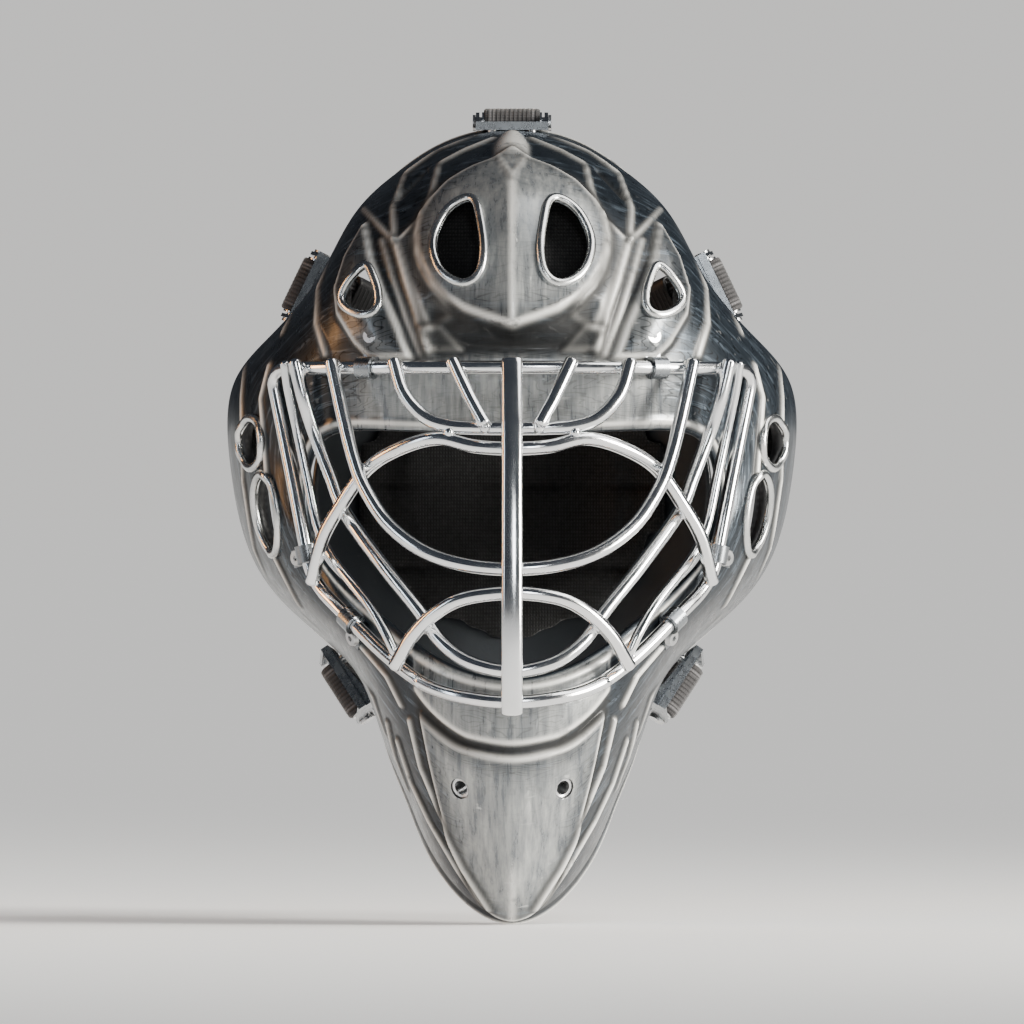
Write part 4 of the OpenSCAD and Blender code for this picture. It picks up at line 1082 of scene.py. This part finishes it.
def plate_at(x, z, rise=0.0):
    x, z = np.asarray(x, float), np.asarray(z, float)
    y = PLATE_Y - x * x / (2 * PLATE_RX) - (z - PLATE_ZC) ** 2 / (2 * PLATE_RZ)
    return np.stack([x, y, z], -1) + rise * plate_normal(x, z)


def plate_half(f):
    """Half width of the plate at f of its half height."""
    return (45 + 36 * (1 - f * f) ** 1.5) * np.sqrt(np.maximum(1 - f**8, 0)) + 2


# Rings from the middle of the outer face, over a raised border and the rounded edge, to the inner face
PLATE_RINGS = [(0.02, -0.3), (0.25, -0.3), (0.5, -0.3), (0.72, -0.3), (0.80, -0.3), (0.83, 0.4), (0.88, 0.4),
    (0.91, -0.3), (0.955, -0.3), (0.985, 0.0), (0.997, -0.5), (1.0, -PLATE_T / 2), (0.997, -PLATE_T + 0.2),
    (0.985, -PLATE_T), (0.6, -PLATE_T), (0.02, -PLATE_T)]


def build_back_plate():
    """Dished plate, closed, with a raised border."""
    f = -np.cos(np.pi * np.linspace(0, 1, 90))
    half, z = plate_half(f), f * PLATE_H / 2
    outline = np.concatenate([np.stack([half, z], -1), np.stack([-half, z], -1)[::-1]])
    parts = Parts()
    parts.loft([plate_at(*(outline * scale + [0, PLATE_ZC]).T, rise) for scale, rise in PLATE_RINGS[::-1]])
    fit(parts.make("back_plate_shell", PLATE), "back_plate", "plate_plastic", "back_plate")


build_back_plate()

# ---- straps
ROLLER_R = 4.5
WRAP_R = ROLLER_R + 0.25 + STRAP_T / 2
LAYER_GAP, FREE_END, SLIDER_AT, SLIDER_L = 5.0, 44.0, 32.0, 13.0
STRAPS = {
    "top": [(0, 70), (0, 48)],
    "upper_left": [(44, 62), (27, 50)],
    "lower_left": [(44, -55), (27, -44)],
}


for place in ("upper", "lower"):
    STRAPS[place + "_right"] = [(-x, z) for x, z in STRAPS[place + "_left"]]


def anchor_frame(place):
    """Pin centre in mm, roller axis, strap heading and the direction off the head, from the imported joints."""
    roller = joints["roller_spin_" + place]
    centre = np.array(roller["pos_m"], float) / MM
    across = unit(np.array(roller["axis"], float))
    heading = unit(np.array(joints["slider_shift_" + place]["axis"], float))
    off = np.cross(across, heading)
    return centre, across, heading, off if off @ centre >= 0 else -off


def blend_weights(t):
    """Weights of start, heading at the start, end and heading at the end, along a smooth (Hermite) curve."""
    return 2 * t**3 - 3 * t**2 + 1, t**3 - 2 * t**2 + t, 3 * t**2 - 2 * t**3, t**3 - t**2


def strap_line(place):
    """Centreline of a strap from its free end, back to the roller, round it and on to the plate.

    It comes with the strap's width direction at the roller, the point where the run to the plate starts, and
    the two points on the plate.
    """
    c, w, d, m = anchor_frame(place)
    ends = [plate_at(*p, PLATE_GAP + STRAP_T / 2) for p in STRAPS[place]]
    top = c + WRAP_R * m
    low = top - LAYER_GAP * m
    start = top + d * FREE_END
    reach = np.linalg.norm(ends[0] - start)
    towards = (start, d * reach, ends[0], unit(ends[1] - ends[0]) * reach)
    last = sum(weight * p for weight, p in zip(blend_weights(np.linspace(0, 1, 30)[:-1, None]), towards))
    turn = np.radians(np.linspace(-90, 90, 21))
    wrap = c + WRAP_R * (np.sin(turn)[:, None] * m - np.cos(turn)[:, None] * d)
    out = np.linspace(0, 1, 9)[:, None]
    bend = low + d * (SLIDER_AT - 10)
    low_run = low + d * FREE_END + out * d * (SLIDER_AT - 10 - FREE_END)
    to_roller = bend + out[1:-1] * (c - WRAP_R * m - bend)
    up_run = top + out[1:-1] * d * FREE_END
    plate_run = ends[0] + np.linspace(0, 1, 8)[:, None] * (ends[1] - ends[0])
    line = np.concatenate([low_run, to_roller, wrap, up_run, last, plate_run])
    return relax(even(line, 1.6), 4, closed=False), w, start, ends


def build_strap(place):
    """Elastic strap that turns from the roller's direction to lie flat on the plate."""
    line, w, start, ends = strap_line(place)
    run = np.concatenate([[0], np.cumsum(np.linalg.norm(np.diff(line, axis=0), axis=1))])
    flat_w = unit(np.cross(plate_normal(*np.mean(STRAPS[place], 0)), ends[1] - ends[0]))
    if flat_w @ w < 0:
        flat_w = -flat_w
    from_start = run[-1] - run - np.linalg.norm(ends[1] - ends[0])
    total = max(from_start[np.linalg.norm(line - start, axis=1).argmin()], 1)
    wide = unit(w + (flat_w - w) * smooth(total, 0, from_start)[:, None])
    # Ribs across the strap: shallow waves on both faces, and rounded selvedges
    across = np.linspace(-1, 1, 53)
    half_t = STRAP_T / 2 * np.sqrt(1 - across**14)
    rib = 0.16 * np.abs(np.cos(across * math.pi * WEBBING_RIBS / 2)) * (np.abs(across) < 0.97)
    top = np.stack([across * STRAP_W / 2, half_t * 0.86 + rib], -1)
    section = np.concatenate([(top * [1, -1])[:0:-1], top[:-1]])
    share = section[:, 0] / STRAP_W + 0.5
    parts = Parts()
    parts.loft(sweep(line, wide, section))
    thing = parts.make("elastic_strap_" + place, WEBBING)
    set_attribute(thing, "across", np.tile(share, len(line)))
    set_attribute(thing, "along", np.repeat(run, len(section)))
    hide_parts("strap_" + place)
    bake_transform(thing)


for place in STRAPS:
    build_strap(place)


# ---- strap sliders
def rounded_loop(half_w, half_h, corner, steps=7):
    """Closed rounded rectangle as (side, up) points, anticlockwise."""
    out = []
    for quarter, signs in enumerate(((1, 1), (-1, 1), (-1, -1), (1, -1))):
        a = np.radians(np.linspace(0, 90, steps) + 90 * quarter)[:, None]
        centre = np.array(signs) * [half_w - corner, half_h - corner]
        out.append(centre + corner * np.concatenate([np.cos(a), np.sin(a)], 1))
    return np.concatenate(out)


def build_slider(place):
    """Moulded slide: a rounded frame round both layers of the strap, a centre bar and grip ridges."""
    c, w, d, m = anchor_frame(place)
    mid = c + d * SLIDER_AT + (WRAP_R - LAYER_GAP / 2) * m
    skin_t, room = 1.6, 1.0
    half_w, half_h = STRAP_W / 2 + 3, (LAYER_GAP + STRAP_T) / 2 + room + skin_t
    loop = even(rounded_loop(half_w - skin_t / 2, half_h - skin_t / 2, 2.2), 1.0, True)
    path = mid + loop[:, :1] * w + loop[:, 1:] * m
    parts = Parts()
    parts.loft(sweep(path, d, rounded_bar(SLIDER_L, skin_t, 5, 24), True), closed=True)
    bar = mid + np.linspace(-half_w + 1.4, half_w - 1.4, 25)[:, None] * w
    parts.loft(round_ends(bar, rounded_bar(5, 1.8, 3, 20), d, 0.4))
    for k in range(-2, 3):
        for face in (-1, 1):
            ridge = mid + d * (2.3 * k) + face * m * (half_h - 0.12) + np.linspace(-10.5, 10.5, 19)[:, None] * w
            parts.loft(round_ends(ridge, rounded_bar(1.1, 0.8, 2.2, 12), d, 0.4))
    fit(parts.make("slide_" + place, SLIDER), "slider_" + place, "slider_plastic", "strap_slider_" + place)


def thread_row(parts, path, normal, pitch=2.6, radius=0.32):
    """Stitches along a path: short domed bars with a gap between them."""
    line = even(path, pitch)
    for a, b in zip(line[:-1], line[1:]):
        run = a + np.linspace(0.12, 0.72, 5)[:, None] * (b - a)
        parts.loft(round_ends(run + normal * 0.12, circle(radius, 8), normal, radius * 0.8))


def sewn_ends():
    """Boxed stitching where each strap is sewn and riveted to the back plate."""
    parts = Parts()
    for points in STRAPS.values():
        a, b = (plate_at(*p, PLATE_GAP + STRAP_T + 0.10) for p in points)
        n = plate_normal(*np.mean(points, 0))
        along = unit(b - a)
        side = unit(np.cross(n, along))
        far = b - along * 1.4
        near = far - along * 15.5
        side = side * 9.4
        box = [near - side, near + side, far + side, far - side]
        for p, q in zip(box, box[1:] + box[:1]):
            thread_row(parts, np.linspace(p, q, 12), n)
    fit(parts.make("strap_stitching", THREAD), "back_plate", "webbing")


for place in STRAPS:
    build_slider(place)
sewn_ends()

# ---- pads: remeshed, blown up as cloth, then sewn
LINER_GAP = WALL + 1.7
CUP_AT = np.array([0.0, -76.0, -111.0])
CUP_R = (34.8, 27.0, 23.0)
CUP_T, LINER_T = 2.4, 5.0


def shell_patch(u, v):
    def at(s, t):
        a = (u[0] + u[1]) / 2 + s * (u[1] - u[0]) / 2
        b = (v[0] + v[1]) / 2 + t * (v[1] - v[0]) / 2
        return shell_at(a, b), shell_normal(a, b)

    return at


def plate_patch(s, t):
    x, z = s * 0.90 * plate_half(t * 0.90), PLATE_ZC + t * 0.90 * PLATE_H / 2
    return plate_at(x, z), plate_normal(x, z)


def cup_point(a, b, depth):
    """Point of the chin cup from the side (a) and from the front down to the underside (b), in degrees."""
    a, b = np.radians(a), np.radians(b)
    x, y, z = (r - depth for r in CUP_R)
    return CUP_AT + np.stack([x * np.sin(a) * np.cos(b), -y * np.cos(a) * np.cos(b), -z * np.sin(b)], -1)


def cup_patch(s, t):
    a, b = s * 73, 28 + t * 37
    p = cup_point(a, b, 0)
    return p, unit((p - CUP_AT) / np.square(CUP_R))


# Pad: patch it lies on, gap and thickness off it, voxel, most movement, fill, channels as (axis, place)
PADS = {
    "crown_pad": (shell_patch((-1.9, 1.9), (2.15, 5.45)), LINER_GAP, 14, 4.5, 5, 0.6,
        [(0, 0), (1, -0.36), (1, 0.34)]),
    "brow_pad": (shell_patch((-3.3, 3.3), (0.3, 1.15)), LINER_GAP, 13, 4.0, 5, 0.6,
        [(0, -0.62), (0, -0.21), (0, 0.21), (0, 0.62)]),
    "temple_pad_left": (shell_patch((3.75, 7.3), (3.5, 5.4)), LINER_GAP, 20, 4.5, 6, 0.7,
        [(0, -0.3), (0, 0.35)]),
    "jaw_pad_left": (shell_patch((8.3, 10.7), (2.2, 4.9)), LINER_GAP, 16, 4.5, 6, 0.6, [(1, -0.3), (1, 0.35)]),
    "back_pad": (plate_patch, PLATE_T + PAD_GAP, BACK_PAD_T, 4.5, 5, 0.5,
        [(1, -0.5), (1, 0), (1, 0.5), (0, 0)]),
    "chin_liner": (cup_patch, CUP_T + 0.4, LINER_T, 2.6, 1.6, 0.4, [(0, -0.4), (0, 0.4)]),
}
PAD_CORNER = 0.30
# Depth under its patch at which a pad's points are looked up
PAD_MIDDLE = 10
SIM_FRAMES = 20


def pad_blank(name, patch, gap, thick, voxel):
    """Closed slab on its patch, thinner than the finished pad, with rounded corners, remeshed for the cloth."""
    count = 33
    s, t = np.meshgrid(np.linspace(-1, 1, count), np.linspace(-1, 1, count), indexing="ij")
    rs, rt = s * np.sqrt(1 - PAD_CORNER * t * t), t * np.sqrt(1 - PAD_CORNER * s * s)
    crown = np.sqrt((1 - s**4) * (1 - t**4))
    layers = []
    for size, depth in ((0.965, gap + 0.25 + 0 * s), (0.93, gap + thick * (0.32 + 0.38 * crown))):
        p, n = patch(rs * size, rt * size)
        layers.append(p - depth[..., None] * n)
    cloth = LINER if name.startswith("chin") else KNIT
    thing = piece(name, np.reshape(layers, (-1, 3)), slab_faces(count, count), cloth)
    remesh = thing.modifiers.new("remesh", "REMESH")
    remesh.mode = "VOXEL"
    remesh.voxel_size = voxel * MM
    remesh.use_smooth_shade = True
    even_out = thing.modifiers.new("even", "SMOOTH")
    even_out.factor = 0.5
    even_out.iterations = 6
    apply_modifiers(thing)
    return thing


def on_patch(patch, points):
    """For each point: the patch's nearest s and t, its depth and normal there, and mm per unit of s and t."""
    places = np.linspace(-1.04, 1.04, 121)
    s, t = np.meshgrid(places, places, indexing="ij")
    at, n = patch(s, t)
    step = places[1] - places[0]
    grid = np.stack([np.linalg.norm(np.gradient(at, axis=k), axis=-1) / step for k in (0, 1)], -1)
    at, n, grid = at.reshape(-1, 3), n.reshape(-1, 3), grid.reshape(-1, 2)
    near = nearest_of(at - PAD_MIDDLE * n, points)
    depth = ((at[near] - points) * n[near]).sum(1)
    return np.stack([s.ravel()[near], t.ravel()[near]], -1), depth, n[near], grid[near]


def swell(blanks):
    """Runs one cloth simulation for all the pads: air pressure bulges the side away from the backing."""
    before = {}
    for name, thing in blanks.items():
        patch, gap, thick = PADS[name][:3]
        before[name] = coordinates(thing)
        depth = on_patch(patch, before[name])[1]
        backing = thing.vertex_groups.new(name="backing")
        backing.add(np.flatnonzero(depth < gap + thick * 0.16).tolist(), 1.0, "REPLACE")
        cloth = thing.modifiers.new("cloth", "CLOTH")
        cloth.settings.quality = 5
        cloth.settings.use_pressure = True
        cloth.settings.uniform_pressure_force = 4
        cloth.settings.effector_weights.gravity = 0
        cloth.settings.vertex_group_mass = "backing"
        cloth.collision_settings.use_collision = False
        cloth.point_cache.frame_start, cloth.point_cache.frame_end = 1, SIM_FRAMES
    for step in range(1, SIM_FRAMES + 1):
        bpy.context.scene.frame_set(step)
    graph = bpy.context.evaluated_depsgraph_get()
    after = {name: coordinates(thing.evaluated_get(graph)) for name, thing in blanks.items()}
    for name, thing in blanks.items():
        moved = after[name] - before[name]
        length = np.linalg.norm(moved, axis=1, keepdims=True)
        thing.modifiers.clear()
        thing.vertex_groups.clear()
        move_to(thing, before[name] + moved * np.minimum(1, PADS[name][4] / np.maximum(length, 1e-6)))
    bpy.context.scene.frame_set(1)


def sew(thing, patch, gap, thick, channels):
    """One subdivision, then channels pressed into the free side and the whole kept inside its CAD solid."""
    fine = thing.modifiers.new("fine", "SUBSURF")
    fine.levels = fine.render_levels = 1
    apply_modifiers(thing)
    points = coordinates(thing)
    place, depth, normal, scale = on_patch(patch, points)
    free = smooth(gap + thick * 0.25, gap + thick * 0.5, depth)
    seam = np.zeros(len(points))
    for axis, at in channels:
        away = (place[:, axis] - at) * scale[:, axis]
        points += (0.24 * thick * np.exp(-((away / 2.6) ** 2)) * free)[:, None] * normal
        seam = np.maximum(seam, np.exp(-((away / 0.9) ** 2)) * free)
    depth = on_patch(patch, points)[1]
    limit = np.clip(depth, gap + 0.15, gap + thick - 0.1)
    points += (depth - limit)[:, None] * normal
    move_to(thing, points)
    set_attribute(thing, "seam", seam)
    thing.data.shade_smooth()


def build_pads():
    blanks = {name: pad_blank(name + "_cushion", p[0], p[1], p[2], p[3]) for name, p in PADS.items()}
    swell(blanks)
    for name, thing in blanks.items():
        patch, gap, thick, _, _, fill, channels = PADS[name]
        sew(thing, patch, gap, thick, channels)
        twins = [(thing, name)]
        if name.endswith("left"):
            other = thing.copy()
            other.data = thing.data.copy()
            other.name = thing.name.replace("left", "right")
            bpy.context.scene.collection.objects.link(other)
            move_to(other, mirror_x(coordinates(other)))
            other.data.flip_normals()
            twins.append((other, name.replace("left", "right")))
        for pad, node in twins:
            body = {"back_pad": "back_plate", "chin_liner": "chin_sling"}.get(node, "mask")
            fit(pad, body, "liner_cloth" if node == "chin_liner" else "pad_cloth", node)


build_pads()

# ---- chin sling: cup and stitched webbing tabs
STUD = (34.0, -82.0, -96.0)
TAB_T, TAB_W, TAB_L = 1.6, 14.0, 20.0
CUP_RIBS = (-44, -22, 0, 22, 44)


def build_cup():
    """Dished plastic cup: two skins joined round a rolled rim, with raised ribs down its face."""
    count = 61
    a, b = np.meshgrid(np.linspace(-77.5, 77.5, count * 2 - 1), np.linspace(-13.5, 69.5, count), indexing="ij")
    edge = np.minimum(77.5 - np.abs(a), np.minimum(b + 13.5, 69.5 - b)) * 0.5
    rise = 0.7 * np.exp(-(((edge - 1.8) / 1.3) ** 2))
    for rib in CUP_RIBS:
        rise += 0.55 * np.exp(-(((a - rib) * 0.5 / 1.1) ** 2)) * smooth(4, 8, edge)
    turned = np.clip(edge / 1.1, 0, 1)
    turned = np.sqrt(1 - (1 - turned) ** 2)
    middle = CUP_T / 2
    outer = cup_point(a, b, 0)
    outward = unit((outer - CUP_AT) / np.square(CUP_R))
    outer = outer - outward * (middle * (1 - turned) - rise * 0.5)[..., None]
    inner = cup_point(a, b, CUP_T) + outward * (middle * (1 - turned))[..., None]
    skins = np.reshape([outer, inner], (-1, 3))
    faces = [(face[0], *face[:0:-1]) for face in slab_faces(*a.shape)]
    fit(piece("chin_cup_shell", skins, faces, CUP), "chin_sling", "cup_plastic", "chin_cup")


def build_tab(side, flip):
    """Webbing tab from the stud down to the cup, ribbed lengthways, with a row of stitches round it."""
    z = np.concatenate([np.linspace(TAB_W / 2 - 0.05, 0, 15), np.linspace(0, -TAB_L, 26)[1:]])
    half = np.where(z > 0, np.sqrt(np.maximum((TAB_W / 2) ** 2 - z**2, 0.04)), TAB_W / 2)
    share = np.linspace(-1, 1, 41)
    thick = TAB_T / 2 * (1 - np.abs(share) ** 12) ** 0.5 * 0.88
    rib = 0.09 * np.abs(np.cos(share * math.pi * 4.5))
    face = np.stack([share, thick + rib], -1)
    section = np.concatenate([face[:-1], (face * [1, -1])[:0:-1]])
    middle = np.array(STUD) + [TAB_T / 2, 0, 0]
    rings = [[middle + (up, x * h, k) for x, up in section] for k, h in zip(z, half)]
    parts = Parts()
    parts.loft(np.array(rings)[:, ::flip] * [flip, 1, 1])
    thing = parts.make("chin_tab_" + side, WEBBING)
    set_attribute(thing, "across", np.tile((section[:, 0] * 0.5 + 0.5)[::flip], len(z)))
    set_attribute(thing, "along", np.repeat(TAB_W / 2 - z, len(section)))
    fit(thing, "chin_sling", "webbing", "chin_strap_" + side)
    threads = Parts()
    for face in (0, 1):
        x = STUD[0] + (TAB_T + 0.02 if face else -0.02)
        out = np.array([flip * (1.0 if face else -1.0), 0, 0])
        for y in (-5.6, 5.6):
            row = [(flip * x, STUD[1] + y, STUD[2] + k) for k in np.linspace(-1, -18.6, 10)]
            thread_row(threads, np.array(row), out, 2.2, 0.24)
    fit(threads.make("chin_tab_stitches_" + side, THREAD), "chin_sling", "webbing")


build_cup()
build_tab("left", 1)
build_tab("right", -1)


# ---- floor, light and camera
def lay_floor():
    """Plain floor under the lowest point, in rings that grow towards the horizon."""
    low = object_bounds()[0].z / MM
    rings = [0.02, 0.5, 1.5, 4, 10, 30, 100, 400]
    sides = 48
    turn = np.arange(sides) * 2 * math.pi / sides
    verts = [(r / MM * math.cos(a), r / MM * math.sin(a), low) for r in rings for a in turn]
    faces = [tuple(range(sides)), *ring_faces(len(rings), sides, clockwise=True)]
    piece("floor", verts, faces, pale(), flat=True)


def pale():
    """Pale floor with a faint glow of its own, so that the object's shade stays soft."""
    n = Nodes("pale_floor")
    color = n.mix(n.noise(3, 2), (0.88, 0.875, 0.86), (0.90, 0.895, 0.88))
    glow = {"Emission Color": (0.90, 0.895, 0.88), "Emission Strength": 0.42}
    return n.finish({"Base Color": color, "Roughness": 0.9, "Specular IOR Level": 0.0, **glow})


def hang(data, place, target, power, color):
    """A lamp at a place in metres, turned to its target."""
    data.energy = power
    data.color = color
    lamp = bpy.data.objects.new(data.name, data)
    lamp.location = place
    lamp.rotation_mode = "QUATERNION"
    lamp.rotation_quaternion = (Vector(target) - Vector(place)).to_track_quat("-Z", "Y")
    bpy.context.scene.collection.objects.link(lamp)


def softbox(name, place, target, size, power, color, spread):
    data = bpy.data.lights.new(name, "AREA")
    data.shape = "RECTANGLE"
    data.size, data.size_y = size
    data.spread = math.radians(spread)
    hang(data, place, target, power, color)


def studio():
    """Dim studio that lights the object, seen by the camera as pale as the floor."""
    world = bpy.data.worlds.new("studio")
    world.use_nodes = True
    tree = world.node_tree
    seen = tree.nodes.new("ShaderNodeMix")
    seen.data_type = "RGBA"
    seen.inputs[6].default_value = (0.036, 0.042, 0.052, 1)
    seen.inputs[7].default_value = (0.769, 0.760, 0.742, 1)
    rays = tree.nodes.new("ShaderNodeLightPath")
    tree.links.new(rays.outputs["Is Camera Ray"], seen.inputs[0])
    tree.links.new(seen.outputs[2], tree.nodes["Background"].inputs["Color"])
    bpy.context.scene.world = world


def light():
    studio()
    sun = bpy.data.lights.new("sun", "SUN")
    sun.angle = math.radians(40)
    hang(sun, (0, 0, 0), (-0.60, 0.10, -0.80), 1.6, (1.0, 0.98, 0.95))
    softbox("key", (2.78, -1.10, 0.66), (0, -0.05, 0), (1.1, 1.5), 36, (1.0, 0.96, 0.88), 60)
    softbox("front", (0.35, -2.6, 0.75), (0, 0, 0), (0.30, 0.8), 1.0, (0.95, 0.98, 1.0), 60)
    softbox("left", (-1.7, -1.1, 0.60), (0, -0.05, 0), (0.18, 1.2), 0.5, (0.80, 0.90, 1.0), 60)
    softbox("warm", (-1.5, -0.10, 0.45), (0, 0, 0.02), (0.20, 0.9), 0.6, (1.0, 0.50, 0.20), 50)


FILLS_FRAME = 0.80


def camera():
    """Straight from the front, with a long lens: the print shows no perspective."""
    low, high = cad_box
    data = bpy.data.cameras.new("camera")
    data.lens, data.sensor_width, data.clip_end = 600, 36, 600
    distance = (high.z - low.z) / FILLS_FRAME * data.lens / data.sensor_width
    eye = bpy.data.objects.new("camera", data)
    eye.location = (0, low.y - distance + 0.1, (low.z + high.z) / 2)
    eye.rotation_euler = (math.pi / 2, 0, 0)
    bpy.context.scene.collection.objects.link(eye)
    bpy.context.scene.camera = eye


lay_floor()
light()
camera()
